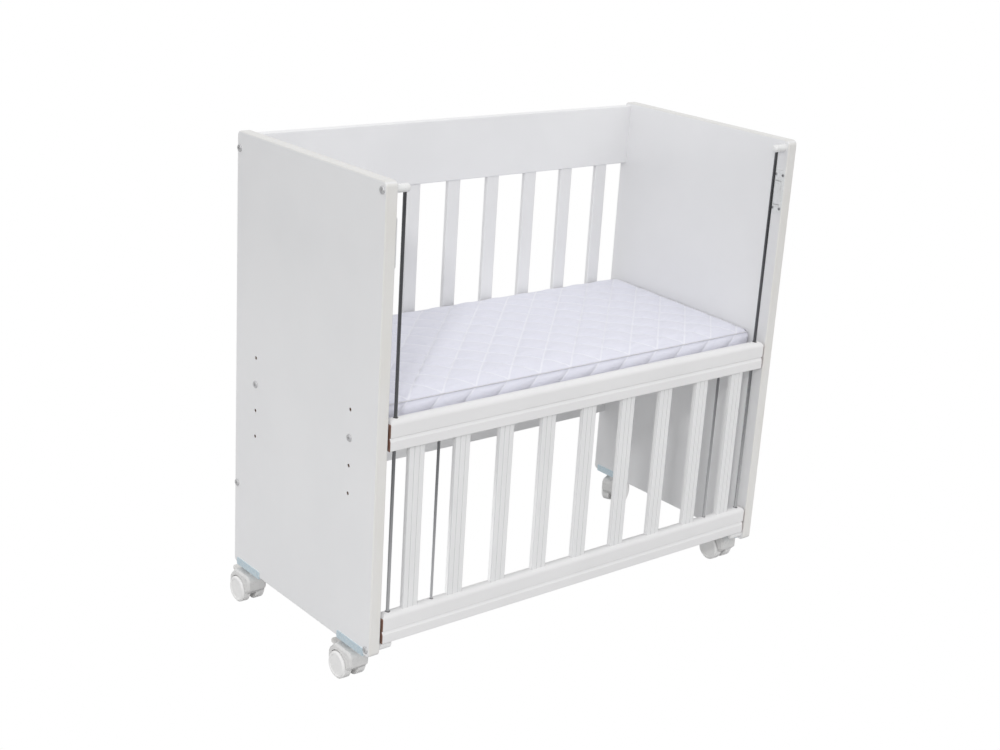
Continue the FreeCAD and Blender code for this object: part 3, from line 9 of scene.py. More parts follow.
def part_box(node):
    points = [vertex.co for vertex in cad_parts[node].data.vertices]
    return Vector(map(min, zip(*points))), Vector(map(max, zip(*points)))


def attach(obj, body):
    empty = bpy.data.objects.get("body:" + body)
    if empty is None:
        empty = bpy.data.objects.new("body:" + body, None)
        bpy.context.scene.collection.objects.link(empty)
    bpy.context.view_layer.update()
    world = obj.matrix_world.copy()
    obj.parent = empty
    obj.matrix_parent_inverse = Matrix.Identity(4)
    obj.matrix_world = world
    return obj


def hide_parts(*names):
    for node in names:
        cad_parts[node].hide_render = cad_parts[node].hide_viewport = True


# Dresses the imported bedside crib: materials on the CAD nodes, a quilted mattress in place of
# its plain solid, studio light and a camera at the photograph's angle. Metres throughout.

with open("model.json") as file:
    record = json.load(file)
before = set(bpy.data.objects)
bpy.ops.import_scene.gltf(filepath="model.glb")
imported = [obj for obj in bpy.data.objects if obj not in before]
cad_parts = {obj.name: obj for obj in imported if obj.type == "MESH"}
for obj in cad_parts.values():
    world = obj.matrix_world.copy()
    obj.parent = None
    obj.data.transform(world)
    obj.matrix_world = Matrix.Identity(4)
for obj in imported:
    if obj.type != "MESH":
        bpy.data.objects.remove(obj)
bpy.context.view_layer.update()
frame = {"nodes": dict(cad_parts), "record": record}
nodes = frame["nodes"]
slot_of = {part["node"]: part["material_slot"] for part in frame["record"]["subparts"]}


def put_in_scene(name, data):
    """A new object in the scene that holds a mesh, a curve, a lamp or a camera."""
    thing = bpy.data.objects.new(name, data)
    bpy.context.scene.collection.objects.link(thing)
    return thing


def piece_from(name, mesh):
    """A new object made from a bmesh, which is freed."""
    data = bpy.data.meshes.new(name)
    mesh.to_mesh(data)
    mesh.free()
    return put_in_scene(name, data)


# ---------------------------------------------------------------- materials

# Places on the CAD pieces where a finish changes.
panel_low, panel_high = (Vector(corner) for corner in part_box("end_panel_right"))
PANEL_INNER_X = panel_low.x
PANEL_OUTER_X = panel_high.x
PANEL_HALF_DEPTH = panel_high.y
PANEL_FOOT = panel_low.z
PANEL_TOP = panel_high.z
RAIL_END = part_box("drop_top_rail")[1][0]
DROP_SLAT_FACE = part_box("drop_slats")[0][1]

EDGE_TINT = 0.0030  # an edge's cream starts this far before the edge
EDGE_TINT_SOFT = 0.0025  # and takes this much to be full
SKIN = 0.0006  # thickness of the coating at the mouth of a bore
SKIN_SOFT = 0.0006  # how softly it gives way to raw board
LONG_EDGE_MARGIN = 0.0050  # raw board isn't painted within this of a long edge
LONG_EDGE_SOFT = 0.0010
END_MARGIN = 0.010  # nor within this of the top or the foot
END_SOFT = 0.002
RAIL_END_SKIN = 0.0004  # the dark brown band at a rail's end, measured back from its face
RAIL_END_SOFT = 0.0002
FLUTE_STARTS = 0.0003  # depths between which a flute's painted shade lies
FLUTE_ENDS = 0.0016
FLUTE_SOFT = 0.0005
ROD_PALE_REFLECTION_BELOW = 0.12  # heights between which the guide rods' painted reflection turns from pale to dark
ROD_DARK_REFLECTION_ABOVE = 0.52

WHITE = (0.815, 0.815, 0.82)
WHITE_SHADE = (0.795, 0.796, 0.802)
BOARD_WHITE = (0.84, 0.84, 0.845)
RAIL_WHITE = (0.825, 0.82, 0.82)
RAIL_SHADE = (0.805, 0.80, 0.80)
SLAT_WHITE = (0.825, 0.825, 0.825)
SLAT_SHADE = (0.805, 0.805, 0.805)
# Painted shade for the flutes of the drop side's slats.
FLUTE_PAINTED_SHADE = (0.66, 0.66, 0.665)
CREAM = (0.765, 0.75, 0.715)
TOP_CREAM = (0.72, 0.712, 0.69)
CHIP = (0.40, 0.28, 0.20)
CHIP_GAP = (0.22, 0.15, 0.11)
RAIL_END_DARK_BROWN = (0.20, 0.10, 0.07)
RAIL_END_PALE_BROWN = (0.34, 0.20, 0.15)
# Painted reflection on the guide rods: dark for their upper part, pale near the floor.
ROD_PAINTED_DARK_REFLECTION = (0.18, 0.183, 0.19)
ROD_PAINTED_DARK_REFLECTION_MARK = (0.12, 0.123, 0.13)
ROD_PAINTED_PALE_REFLECTION = (0.66, 0.665, 0.675)
ROD_PAINTED_PALE_REFLECTION_MARK = (0.56, 0.565, 0.575)
ZINC = (0.76, 0.86, 0.90)
ZINC_SHADE = (0.66, 0.79, 0.86)

# Stretches of a noise's coordinates: it is drawn out along the axis with the small number.
FINE_ALONG_X = (0.08, 1, 1)
COARSE_ALONG_X = (0.1, 1, 1)
FIBRE_ALONG_X = (0.06, 1, 1)
FINE_ALONG_Z = (1, 1, 0.08)
COARSE_ALONG_Z = (1, 1, 0.1)
DRAWN_ALONG_Z = (1, 1, 0.03)
EVEN = (1, 1, 1)

# Sockets of the Mix node in its colour mode.
MIX_FACTOR = 0
MIX_COLOURS = (6, 7)
MIX_RESULT = 2


class Look:
    """A procedural material, built up from node textures in the object's own coordinates."""

    def __init__(self, name, roughness, metallic=0.0):
        self.material = bpy.data.materials.new(name)
        self.material.use_nodes = True
        self.tree = self.material.node_tree
        self.shader = next(node for node in self.tree.nodes if node.type == "BSDF_PRINCIPLED")
        self.shader.inputs["Roughness"].default_value = roughness
        self.shader.inputs["Metallic"].default_value = metallic
        self.place = self.tree.nodes.new("ShaderNodeTexCoord").outputs["Object"]
        self.tone = None
        self.normal = None

    def link(self, source, target):
        self.tree.links.new(source, target)

    def noise(self, scale, detail=3.0, stretch=EVEN, distortion=0.0):
        """Cloudy noise from 0 to 1, with its coordinates scaled by (x, y, z)."""
        mapping = self.tree.nodes.new("ShaderNodeMapping")
        mapping.inputs["Scale"].default_value = stretch
        self.link(self.place, mapping.inputs["Vector"])
        node = self.tree.nodes.new("ShaderNodeTexNoise")
        node.inputs["Scale"].default_value = scale
        node.inputs["Detail"].default_value = detail
        node.inputs["Distortion"].default_value = distortion
        self.link(mapping.outputs["Vector"], node.inputs["Vector"])
        return node.outputs["Fac"]

    def wave(self, scale, direction, distortion):
        """Parallel bands from 0 to 1."""
        node = self.tree.nodes.new("ShaderNodeTexWave")
        node.bands_direction = direction
        node.inputs["Scale"].default_value = scale
        node.inputs["Distortion"].default_value = distortion
        self.link(self.place, node.inputs["Vector"])
        return node.outputs["Fac"]

    def cells(self, scale):
        """Distance from the middle of the nearest of many small cells."""
        node = self.tree.nodes.new("ShaderNodeTexVoronoi")
        node.inputs["Scale"].default_value = scale
        self.link(self.place, node.inputs["Vector"])
        return node.outputs["Distance"]

    def math(self, operation, first, second=0.0):
        """Arithmetic on sockets or plain numbers. One that takes a single value ignores the second."""
        node = self.tree.nodes.new("ShaderNodeMath")
        node.operation = operation
        for socket, given in zip(node.inputs, (first, second)):
            if isinstance(given, (int, float)):
                socket.default_value = given
            else:
                self.link(given, socket)
        return node.outputs[0]

    def product(self, first, *others):
        result = first
        for factor in others:
            result = self.math("MULTIPLY", result, factor)
        return result

    def along(self, letter):
        """The object's own x, y or z."""
        node = self.tree.nodes.new("ShaderNodeSeparateXYZ")
        self.link(self.place, node.inputs[0])
        return node.outputs[letter]

    def ramp(self, factor, low, high, low_out=0.0, high_out=1.0):
        """The factor, spread from low..high to low_out..high_out with soft ends."""
        node = self.tree.nodes.new("ShaderNodeMapRange")
        node.interpolation_type = "SMOOTHSTEP"
        node.inputs["From Min"].default_value = low
        node.inputs["From Max"].default_value = high
        node.inputs["To Min"].default_value = low_out
        node.inputs["To Max"].default_value = high_out
        self.link(factor, node.inputs["Value"])
        return node.outputs["Result"]

    def over(self, factor, limit, soft):
        """0 up to a limit, then rising to 1."""
        return self.ramp(factor, limit, limit + soft)

    def under(self, factor, limit, soft):
        """1 until shortly before a limit, falling to 0 at it."""
        return self.ramp(factor, limit - soft, limit, 1.0, 0.0)

    def blend(self, factor, first, second):
        """A colour between two colours, each a tuple or another colour's socket."""
        node = self.tree.nodes.new("ShaderNodeMix")
        node.data_type = "RGBA"
        self.link(factor, node.inputs[MIX_FACTOR])
        for number, given in zip(MIX_COLOURS, (first, second)):
            if isinstance(given, tuple):
                node.inputs[number].default_value = (*given, 1.0)
            else:
                self.link(given, node.inputs[number])
        return node.outputs[MIX_RESULT]

    def colour(self, source):
        """The surface's colour, kept as tone for a finish that is laid over it."""
        self.tone = source
        self.link(source, self.shader.inputs["Base Color"])

    def rough(self, factor, low, high):
        """Roughness from low to high over the middle of a noise's range."""
        self.link(self.ramp(factor, 0.3, 0.7, low, high), self.shader.inputs["Roughness"])

    def bump(self, height, depth, strength=1.0):
        """Relief of a depth in metres, on top of any relief given before."""
        node = self.tree.nodes.new("ShaderNodeBump")
        node.inputs["Strength"].default_value = strength
        node.inputs["Distance"].default_value = depth
        self.link(height, node.inputs["Height"])
        if self.normal is not None:
            self.link(self.normal, node.inputs["Normal"])
        self.normal = node.outputs["Normal"]
        self.link(self.normal, self.shader.inputs["Normal"])


def lacquer(name, main, shade, grain):
    """White satin lacquer: faint cloudiness, roller texture, the grain just showing under it."""
    look = Look(name, roughness=0.36)
    cloud = look.ramp(look.noise(scale=5.0), low=0.35, high=0.65)
    look.colour(look.blend(cloud, main, shade))
    look.rough(look.noise(scale=60.0, detail=4.0), low=0.31, high=0.43)
    look.bump(look.noise(scale=900.0, detail=2.0), depth=0.00004)
    look.bump(look.noise(scale=160.0, stretch=grain), depth=0.00005)
    look.shader.inputs["Coat Weight"].default_value = 0.08
    look.shader.inputs["Coat Roughness"].default_value = 0.2
    return look


def panel_lacquer():
    """White lacquer, creamier on the long edges and on the top, with raw chipboard in the bores."""
    look = lacquer("panel_lacquer", WHITE, WHITE_SHADE, COARSE_ALONG_Z)
    across = look.math("ABSOLUTE", look.along("X"))
    deep = look.math("ABSOLUTE", look.along("Y"))
    high = look.along("Z")
    patches = look.noise(scale=40.0, detail=4.0, stretch=(1, 1, 0.2))
    worn = look.product(look.over(deep, PANEL_HALF_DEPTH - EDGE_TINT, EDGE_TINT_SOFT),
                        look.ramp(patches, 0.2, 0.8, 0.55, 1.0))
    on_top = look.over(high, PANEL_TOP - EDGE_TINT, EDGE_TINT_SOFT)
    coated = look.blend(on_top, look.blend(worn, look.tone, CREAM), TOP_CREAM)
    in_bore = look.product(look.under(across, PANEL_OUTER_X - SKIN, SKIN_SOFT),
                           look.over(across, PANEL_INNER_X + SKIN, SKIN_SOFT),
                           look.under(deep, PANEL_HALF_DEPTH - LONG_EDGE_MARGIN, LONG_EDGE_SOFT),
                           look.over(high, PANEL_FOOT + END_MARGIN, END_SOFT),
                           look.under(high, PANEL_TOP - END_MARGIN, END_SOFT))
    inlay_tone = look.blend(look.ramp(look.cells(scale=700.0), low=0.1, high=0.6), CHIP, CHIP_GAP)
    look.colour(look.blend(in_bore, coated, inlay_tone))
    return look.material


def rail_lacquer():
    """White lacquer on the drop side's rails, dark brown at the ends beside the panels."""
    look = lacquer("rail_lacquer", RAIL_WHITE, RAIL_SHADE, FINE_ALONG_X)
    across = look.math("ABSOLUTE", look.along("X"))
    end = look.over(across, RAIL_END - RAIL_END_SKIN, RAIL_END_SOFT)
    inlay_tone = look.blend(look.noise(scale=300.0, stretch=(1, 0.3, 1)), RAIL_END_DARK_BROWN, RAIL_END_PALE_BROWN)
    look.colour(look.blend(end, look.tone, inlay_tone))
    return look.material


def slat_lacquer():
    """White lacquer on the slats, a little greyer with painted shade in the drop side's flutes."""
    look = lacquer("slat_lacquer", SLAT_WHITE, SLAT_SHADE, FINE_ALONG_Z)
    depth = look.math("SUBTRACT", look.along("Y"), DROP_SLAT_FACE)
    flute_painted_shade = look.product(look.over(depth, FLUTE_STARTS, FLUTE_SOFT),
                            look.under(depth, FLUTE_ENDS, FLUTE_SOFT))
    # Painted shade: grey laid into the flutes' depths, where shade falls.
    look.colour(look.blend(flute_painted_shade, look.tone, FLUTE_PAINTED_SHADE))
    return look.material


def guide_rod_steel():
    """Drawn steel rod with a painted reflection: dark above and paler towards the floor."""
    look = Look("rod_steel", roughness=0.27, metallic=1.0)
    marks = look.noise(scale=300.0, detail=4.0, stretch=DRAWN_ALONG_Z)
    dark_reflection = look.blend(marks, ROD_PAINTED_DARK_REFLECTION, ROD_PAINTED_DARK_REFLECTION_MARK)
    pale_reflection = look.blend(marks, ROD_PAINTED_PALE_REFLECTION, ROD_PAINTED_PALE_REFLECTION_MARK)
    # Painted reflection, set by height: pale near the floor, dark above.
    look.colour(look.blend(look.ramp(look.along("Z"), ROD_PALE_REFLECTION_BELOW, ROD_DARK_REFLECTION_ABOVE), pale_reflection, dark_reflection))
    look.rough(look.noise(scale=100.0, stretch=DRAWN_ALONG_Z), low=0.20, high=0.37)
    look.bump(marks, depth=0.00001)
    return look.material


def plastic(name, main, shade, roughness):
    """Moulded plastic with fine spark texture and slight flow marks."""
    look = Look(name, roughness=roughness)
    look.colour(look.blend(look.ramp(look.noise(scale=70.0), low=0.3, high=0.7), main, shade))
    look.rough(look.noise(scale=220.0), low=roughness - 0.06, high=roughness + 0.08)
    look.bump(look.noise(scale=1400.0, detail=2.0), depth=0.00003)
    return look.material


def metal(name, main, shade, roughness, drawn=EVEN, metallic=1.0):
    """Steel with fine marks, which may be drawn out along one way."""
    look = Look(name, roughness=roughness, metallic=metallic)
    marks = look.noise(scale=300.0, detail=4.0, stretch=drawn)
    look.colour(look.blend(look.ramp(marks, low=0.3, high=0.7), main, shade))
    look.rough(look.noise(scale=100.0, stretch=drawn), low=roughness - 0.07, high=roughness + 0.1)
    look.bump(marks, depth=0.00001)
    return look.material


def bare_wood(name, early, late):
    """Unpainted timber with growth rings and fibres along X."""
    look = Look(name, roughness=0.62)
    rings = look.noise(scale=38.0, detail=6.0, stretch=FIBRE_ALONG_X, distortion=0.6)
    fibre = look.noise(scale=420.0, stretch=FIBRE_ALONG_X)
    ringed = look.blend(look.ramp(rings, low=0.35, high=0.65), early, late)
    look.colour(look.blend(look.ramp(fibre, 0.25, 0.75, 0.0, 0.35), ringed, late))
    look.rough(fibre, low=0.55, high=0.72)
    look.bump(fibre, depth=0.00008)
    return look.material


def plated(name):
    """Bluish zinc plating on pressed sheet, with its soft spangle."""
    look = Look(name, roughness=0.36, metallic=0.72)
    spangle = look.ramp(look.cells(scale=260.0), low=0.1, high=0.7)
    look.colour(look.blend(spangle, ZINC, ZINC_SHADE))
    look.rough(look.noise(scale=190.0), low=0.28, high=0.44)
    look.bump(look.noise(scale=700.0, detail=2.0), depth=0.00002)
    return look.material


# One material for each slot, from a main colour, a shade of it, and a roughness or a grain.
looks = {
    "panel_lacquer": panel_lacquer(),
    "board_lacquer": lacquer("board_lacquer", BOARD_WHITE, WHITE, COARSE_ALONG_X).material,
    "rail_lacquer": rail_lacquer(),
    "slat_lacquer": slat_lacquer(),
    "base_lacquer": lacquer("base_lacquer", WHITE, WHITE_SHADE, FINE_ALONG_X).material,
    "base_laminate": lacquer("base_laminate", WHITE, WHITE_SHADE, EVEN).material,
    "bush_plastic": plastic("bush_plastic", (0.12, 0.12, 0.125), (0.09, 0.09, 0.095), 0.45),
    "rod_steel": guide_rod_steel(),
    "bracket_plastic": plastic("bracket_plastic", (0.82, 0.82, 0.815), (0.79, 0.79, 0.785), 0.32),
    "bolt_steel": metal("bolt_steel", (0.66, 0.66, 0.66), (0.56, 0.56, 0.57), 0.42, metallic=0.6),
    "fitting_steel": metal("fitting_steel", (0.62, 0.61, 0.58), (0.5, 0.49, 0.47), 0.34),
    "dowel_wood": bare_wood("dowel_wood", (0.62, 0.45, 0.28), (0.5, 0.34, 0.2)),
    "latch_plastic": plastic("latch_plastic", (0.80, 0.81, 0.81), (0.77, 0.78, 0.78), 0.3),
    "dark_steel": metal("dark_steel", (0.50, 0.50, 0.51), (0.40, 0.40, 0.41), 0.45),
    "saddle_zinc": plated("saddle_zinc"),
    "stem_steel": metal("stem_steel", (0.5, 0.51, 0.53), (0.4, 0.41, 0.43), 0.3, COARSE_ALONG_Z),
    "hood_plastic": plastic("hood_plastic", (0.71, 0.705, 0.695), (0.68, 0.675, 0.665), 0.3),
    "brake_plastic": plastic("brake_plastic", (0.77, 0.76, 0.74), (0.73, 0.72, 0.70), 0.3),
    "wheel_plastic": plastic("wheel_plastic", (0.85, 0.845, 0.835), (0.82, 0.815, 0.805), 0.34),
}


def dress_nodes():
    """Give each CAD node its slot's material. The mattress's own slot has none here."""
    for name, node in nodes.items():
        material = looks.get(slot_of[name])
        if material is None:
            continue
        for place in node.material_slots:
            place.material = material


# ---------------------------------------------------------------- mattress

mattress_low, mattress_high = (Vector(corner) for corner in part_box("mattress"))
MIDDLE = (mattress_low + mattress_high) / 2
HALF_X = (mattress_high.x - mattress_low.x) / 2
HALF_Y = (mattress_high.y - mattress_low.y) / 2
FOOT = mattress_low.z
SEWN_EDGE = FOOT + 0.043  # height of the seam between the top and the sides
TOP_FROM = SEWN_EDGE - 0.004  # points above this height belong to the top
CORNER = 0.014  # radius of the upright corners
END_SHARE = 0.35  # share of an inset that the short ends take: they fit closer
SLAB_PROFILE = ((0.004, FOOT + 0.0006), (0.003, FOOT + 0.004), (0.0035, FOOT + 0.0215),
                (0.003, SEWN_EDGE - 0.003), (0.005, SEWN_EDGE))  # inset and height, upwards

# The blown cloth.
VOXEL = 0.0055
PRESSURE = 4.0
STIFFNESS = 6.0
CLOTH_QUALITY = 4
LAST_FRAME = 20
HELD_SEAM = 0.011  # width of the band at the sewn edge that doesn't move
HELD_FOOT = 0.003  # height of the one at the underside
TOP_CAP = 0.013  # the furthest that a point of the top may move
SIDE_CAP = 0.003  # and one of the sides
FOAM_SHARE = 0.15  # share of the blown top's height that shows
FOAM_LIMIT = 0.012  # out of this height at most

# The quilted form.
CROWN_REACH = 0.070  # the top goes on rising this far in from its edge
CROWN_RISE = 0.0085  # to this height over the sewn edge
REAR_RISE = 0.008  # the foam stands this much higher at the rear
QUILT = 0.072  # pitch along X of the seams that run one way
QUILT_SHIFTS = (0.047, 0.386)  # where the seams of each way start, in pitches
PUFF = 0.0058  # height of the top between the seams
SIDE_PUFF = 0.0055  # travel of the sides between seam and puff
PUFF_POWER = 0.42  # power of the sine between two seams, which fills the puffs out
SEAM_LEVEL = 0.4  # share of a side's puff that is pressed in at the seam
END_PUFF = 0.3  # share of it that the short ends have
TOP_SOFT = 0.006  # height over which the sides pass into the top
TOP_MARGIN = 0.003  # the top's relief starts this far in from its edge
TOP_MARGIN_SOFT = 0.010
FULL_PUFF = 0.03  # puffs have their full height this far in
EDGE_PUFF = 0.25  # and at least this share of it nearer the edge
SIDE_BOTTOM = 0.003  # the sides' relief starts this far over the foot
SIDE_BOTTOM_SOFT = 0.006
SIDE_TOP = 0.001  # and ends this far under the sewn edge
SIDE_TOP_SOFT = 0.005
SIDE_BAND = 0.02  # points within this of the outline belong to the sides

# The piping: its two runs' names, heights and insets.
PIPING_RADIUS = 0.0011
PIPING_RUNS = (("mattress_piping_upper", SEWN_EDGE + 0.0004, 0.0036),
               ("mattress_piping_lower", FOOT + 0.0032, 0.0032))

COVER = (0.775, 0.777, 0.856)
COVER_SHADE = (0.755, 0.757, 0.84)
THREAD = (0.84, 0.842, 0.905)
THREAD_WIDTH = (0.03, 0.16)  # the thread's paleness fades out between these heights of the sine
SIDE_FADE = 300.0  # per metre: how fast the first way's thread fades down the sides
TAPE = (0.79, 0.785, 0.82)
TAPE_PALE = (0.83, 0.825, 0.86)


def quilted_cloth():
    """White polyester cover: fine knit, a cool tint, pale thread along the quilting's seams."""
    look = Look("mattress_cover", roughness=0.82)
    crease = look.noise(scale=42.0, detail=5.0, stretch=(1, 3.2, 2), distortion=0.7)
    puff = look.blend(look.ramp(crease, low=0.3, high=0.7), COVER, COVER_SHADE)
    x = look.math("SUBTRACT", look.along("X"), MIDDLE.x)
    y = look.math("SUBTRACT", look.along("Y"), MIDDLE.y)
    down = look.math("MAXIMUM", look.math("SUBTRACT", SEWN_EDGE, look.along("Z")), 0.0)
    unfolded = look.math("ADD", y, look.math("MULTIPLY", down, look.math("SIGN", y)))
    waves = []
    for operation, shift in zip(("ADD", "SUBTRACT"), QUILT_SHIFTS):
        pitches = look.math("DIVIDE", look.math(operation, x, unfolded), QUILT)
        turn = look.math("MULTIPLY", look.math("SUBTRACT", pitches, shift), math.pi)
        waves.append(look.math("ABSOLUTE", look.math("SINE", turn)))
    first_way = look.math("ADD", waves[0], look.math("MULTIPLY", down, SIDE_FADE))
    thread = look.ramp(look.math("MINIMUM", first_way, waves[1]), *THREAD_WIDTH)
    look.colour(look.blend(thread, THREAD, puff))
    look.bump(look.cells(scale=1500.0), depth=0.00012, strength=0.7)
    look.bump(crease, depth=0.0020, strength=0.7)
    look.bump(look.noise(scale=170.0, detail=4.0, distortion=0.5), depth=0.0004, strength=0.5)
    look.shader.inputs["Sheen Weight"].default_value = 0.25
    look.shader.inputs["Sheen Roughness"].default_value = 0.5
    return look.material


def piping_cloth():
    """White woven tape."""
    look = Look("mattress_piping", roughness=0.75)
    weave = look.wave(900.0, "DIAGONAL", distortion=0.4)
    look.colour(look.blend(weave, TAPE, TAPE_PALE))
    look.bump(weave, depth=0.0002)
    return look.material


def ring_points(inset, z, steps=12):
    """Points round the mattress at a level, drawn in by an inset, with rounded corners."""
    corner_x = HALF_X - inset * END_SHARE - CORNER
    corner_y = HALF_Y - inset - CORNER
    points = []
    for quarter, (sx, sy) in enumerate(((1, 1), (-1, 1), (-1, -1), (1, -1))):
        for step in range(steps + 1):
            angle = math.radians(90 * quarter + 90 * step / steps)
            points.append(Vector((MIDDLE.x + sx * corner_x + CORNER * math.cos(angle),
                                  MIDDLE.y + sy * corner_y + CORNER * math.sin(angle), z)))
    return points


def plain_form():
    """The pad before it is filled: a rounded slab a little smaller than its CAD solid."""
    mesh = bmesh.new()
    rings = []
    for inset, z in SLAB_PROFILE:
        rings.append([mesh.verts.new(point) for point in ring_points(inset, z)])
    for lower, upper in zip(rings, rings[1:]):
        for index in range(len(lower)):
            after = (index + 1) % len(lower)
            mesh.faces.new((lower[index], lower[after], upper[after], upper[index]))
    mesh.faces.new(list(reversed(rings[0])))
    mesh.faces.new(rings[-1])
    return piece_from("quilted_mattress", mesh)


def apply_modifiers(piece):
    graph = bpy.context.evaluated_depsgraph_get()
    mesh = bpy.data.meshes.new_from_object(piece.evaluated_get(graph))
    piece.modifiers.clear()
    piece.data = mesh


def voxel_remesh(piece):
    """Give the piece an even mesh of small squares."""
    remesh = piece.modifiers.new("Remesh", "REMESH")
    remesh.mode = "VOXEL"
    remesh.voxel_size = VOXEL
    apply_modifiers(piece)


def vertex_places(mesh):
    """The mesh's points, as rows of x, y and z."""
    places = np.zeros(len(mesh.vertices) * 3)
    mesh.vertices.foreach_get("co", places)
    return places.reshape(-1, 3)


def move_vertices(mesh, places):
    mesh.vertices.foreach_set("co", places.ravel())
    mesh.update()


def edge_distances(x, y):
    """How far points lie in from the short ends and from the long sides of the mattress."""
    return HALF_X - np.abs(x - MIDDLE.x), HALF_Y - np.abs(y - MIDDLE.y)


def fill_with_foam(piece):
    """Blow the slab up as cloth, held along its underside and its sewn edge."""
    start = vertex_places(piece.data)
    x, y, z = start.T
    at_top = z > TOP_FROM
    at_seam = at_top & (np.minimum(*edge_distances(x, y)) < HELD_SEAM)
    held = piece.vertex_groups.new(name="held")
    held.add([int(i) for i in np.nonzero(at_seam | (z < FOOT + HELD_FOOT))[0]], 1.0, "REPLACE")
    cloth = piece.modifiers.new("Cloth", "CLOTH")
    cloth.settings.use_pressure = True
    cloth.settings.uniform_pressure_force = PRESSURE
    cloth.settings.effector_weights.gravity = 0.0
    cloth.settings.vertex_group_mass = "held"
    cloth.settings.quality = CLOTH_QUALITY
    cloth.settings.tension_stiffness = STIFFNESS
    cloth.point_cache.frame_start = 1
    cloth.point_cache.frame_end = LAST_FRAME
    for number in range(1, LAST_FRAME + 1):
        bpy.context.scene.frame_set(number)
    apply_modifiers(piece)
    bpy.context.scene.frame_set(1)
    moved = vertex_places(piece.data) - start
    reach = np.linalg.norm(moved, axis=1)
    cap = np.where(at_top, TOP_CAP, SIDE_CAP)
    scale = np.where(reach > cap, cap / np.maximum(reach, 1e-9), 1.0)
    move_vertices(piece.data, start + moved * scale[:, None])


def rising(value, start, soft):
    """0 up to a start, then rising evenly to 1."""
    return np.clip((value - start) / soft, 0, 1)


def crown(inside):
    """Share of the dome's rise that a point has: 0 at the edge, 1 in the middle."""
    share = np.clip(inside / CROWN_REACH, 0, 1)
    return np.sqrt(1 - (1 - share) ** 2)


def puffs(x, y, z):
    """The quilting's relief: 0 along its seams, towards 1 between them. One way only on the sides."""
    down = np.maximum(SEWN_EDGE - z, 0)
    unfolded = (y - MIDDLE.y) + down * np.sign(y - MIDDLE.y)
    first = (x - MIDDLE.x + unfolded) / QUILT - QUILT_SHIFTS[0]
    second = (x - MIDDLE.x - unfolded) / QUILT - QUILT_SHIFTS[1]
    one_way = np.abs(np.sin(math.pi * second))
    other_way = np.where(down > 0, 1, np.abs(np.sin(math.pi * first)))
    return (one_way * other_way) ** PUFF_POWER


def risen(y, z):
    """The height z of a point on the pad, lifted towards the rear, where the foam stands higher."""
    back = (y - MIDDLE.y + HALF_Y) / (2 * HALF_Y)
    return z + REAR_RISE * back * np.clip((z - FOOT) / (SEWN_EDGE - FOOT), 0, 1)


def quilt(piece):
    """Press the diamond quilting into the top and, folded down, into the sides."""
    subdivide = piece.modifiers.new("Subdivision", "SUBSURF")
    subdivide.levels = 1
    subdivide.render_levels = 1
    apply_modifiers(piece)
    x, y, z = vertex_places(piece.data).T
    from_ends, from_sides = edge_distances(x, y)
    inside = np.minimum(from_ends, from_sides)
    puffed = puffs(x, y, z)
    on_top = rising(z, TOP_FROM, TOP_SOFT) * rising(inside, TOP_MARGIN, TOP_MARGIN_SOFT)
    foam = np.clip(z - SEWN_EDGE, 0, FOAM_LIMIT) * FOAM_SHARE
    relief = PUFF * puffed * np.clip(inside / FULL_PUFF, EDGE_PUFF, 1)
    top_z = SEWN_EDGE + CROWN_RISE * crown(inside) + foam + relief
    new_z = np.where(z > TOP_FROM, z * (1 - on_top) + on_top * top_z, z)
    on_side = (rising(z - FOOT, SIDE_BOTTOM, SIDE_BOTTOM_SOFT)
               * rising(SEWN_EDGE - z, SIDE_TOP, SIDE_TOP_SOFT))
    swell = SIDE_PUFF * on_side * (puffed - SEAM_LEVEL)
    new_x = x + np.where(from_ends < SIDE_BAND, np.sign(x - MIDDLE.x) * swell * END_PUFF, 0)
    new_y = y + np.where(from_sides < SIDE_BAND, np.sign(y - MIDDLE.y) * swell, 0)
    move_vertices(piece.data, np.stack([new_x, new_y, risen(new_y, new_z)], axis=1))


def piping(name, z, inset):
    """One run of the piping, all round the mattress."""
    curve = bpy.data.curves.new(name, "CURVE")
    curve.dimensions = "3D"
    curve.bevel_depth = PIPING_RADIUS
    curve.bevel_resolution = 2
    points = ring_points(inset, z, steps=8)
    spline = curve.splines.new("POLY")
    spline.points.add(len(points) - 1)
    for place, point in zip(spline.points, points):
        place.co = (point.x, point.y, risen(point.y, point.z), 1.0)
    spline.use_cyclic_u = True
    return put_in_scene(name, curve)


def make_mattress():
    cover = quilted_cloth()
    tape = piping_cloth()
    pad = plain_form()
    voxel_remesh(pad)
    fill_with_foam(pad)
    quilt(pad)
    pad.data.materials.clear()
    pad.data.materials.append(cover)
    for face in pad.data.polygons:
        face.use_smooth = True
    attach(pad, "frame")
    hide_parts("mattress")
    for name, z, inset in PIPING_RUNS:
        edge = piping(name, z, inset)
        edge.data.materials.append(tape)
        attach(edge, "frame")


# ---------------------------------------------------------------- small details

LATCH_HEAD = 0.0054  # diameter of a catch screw's head
LATCH_HEAD_X = 0.0025  # how far its face stands in from the panel's inner face
RECESS_LENGTH = 0.0030
RECESS_WIDTH = 0.0009
RECESS_SHOWS = 0.00012  # the cross stands this little proud, so that it shows


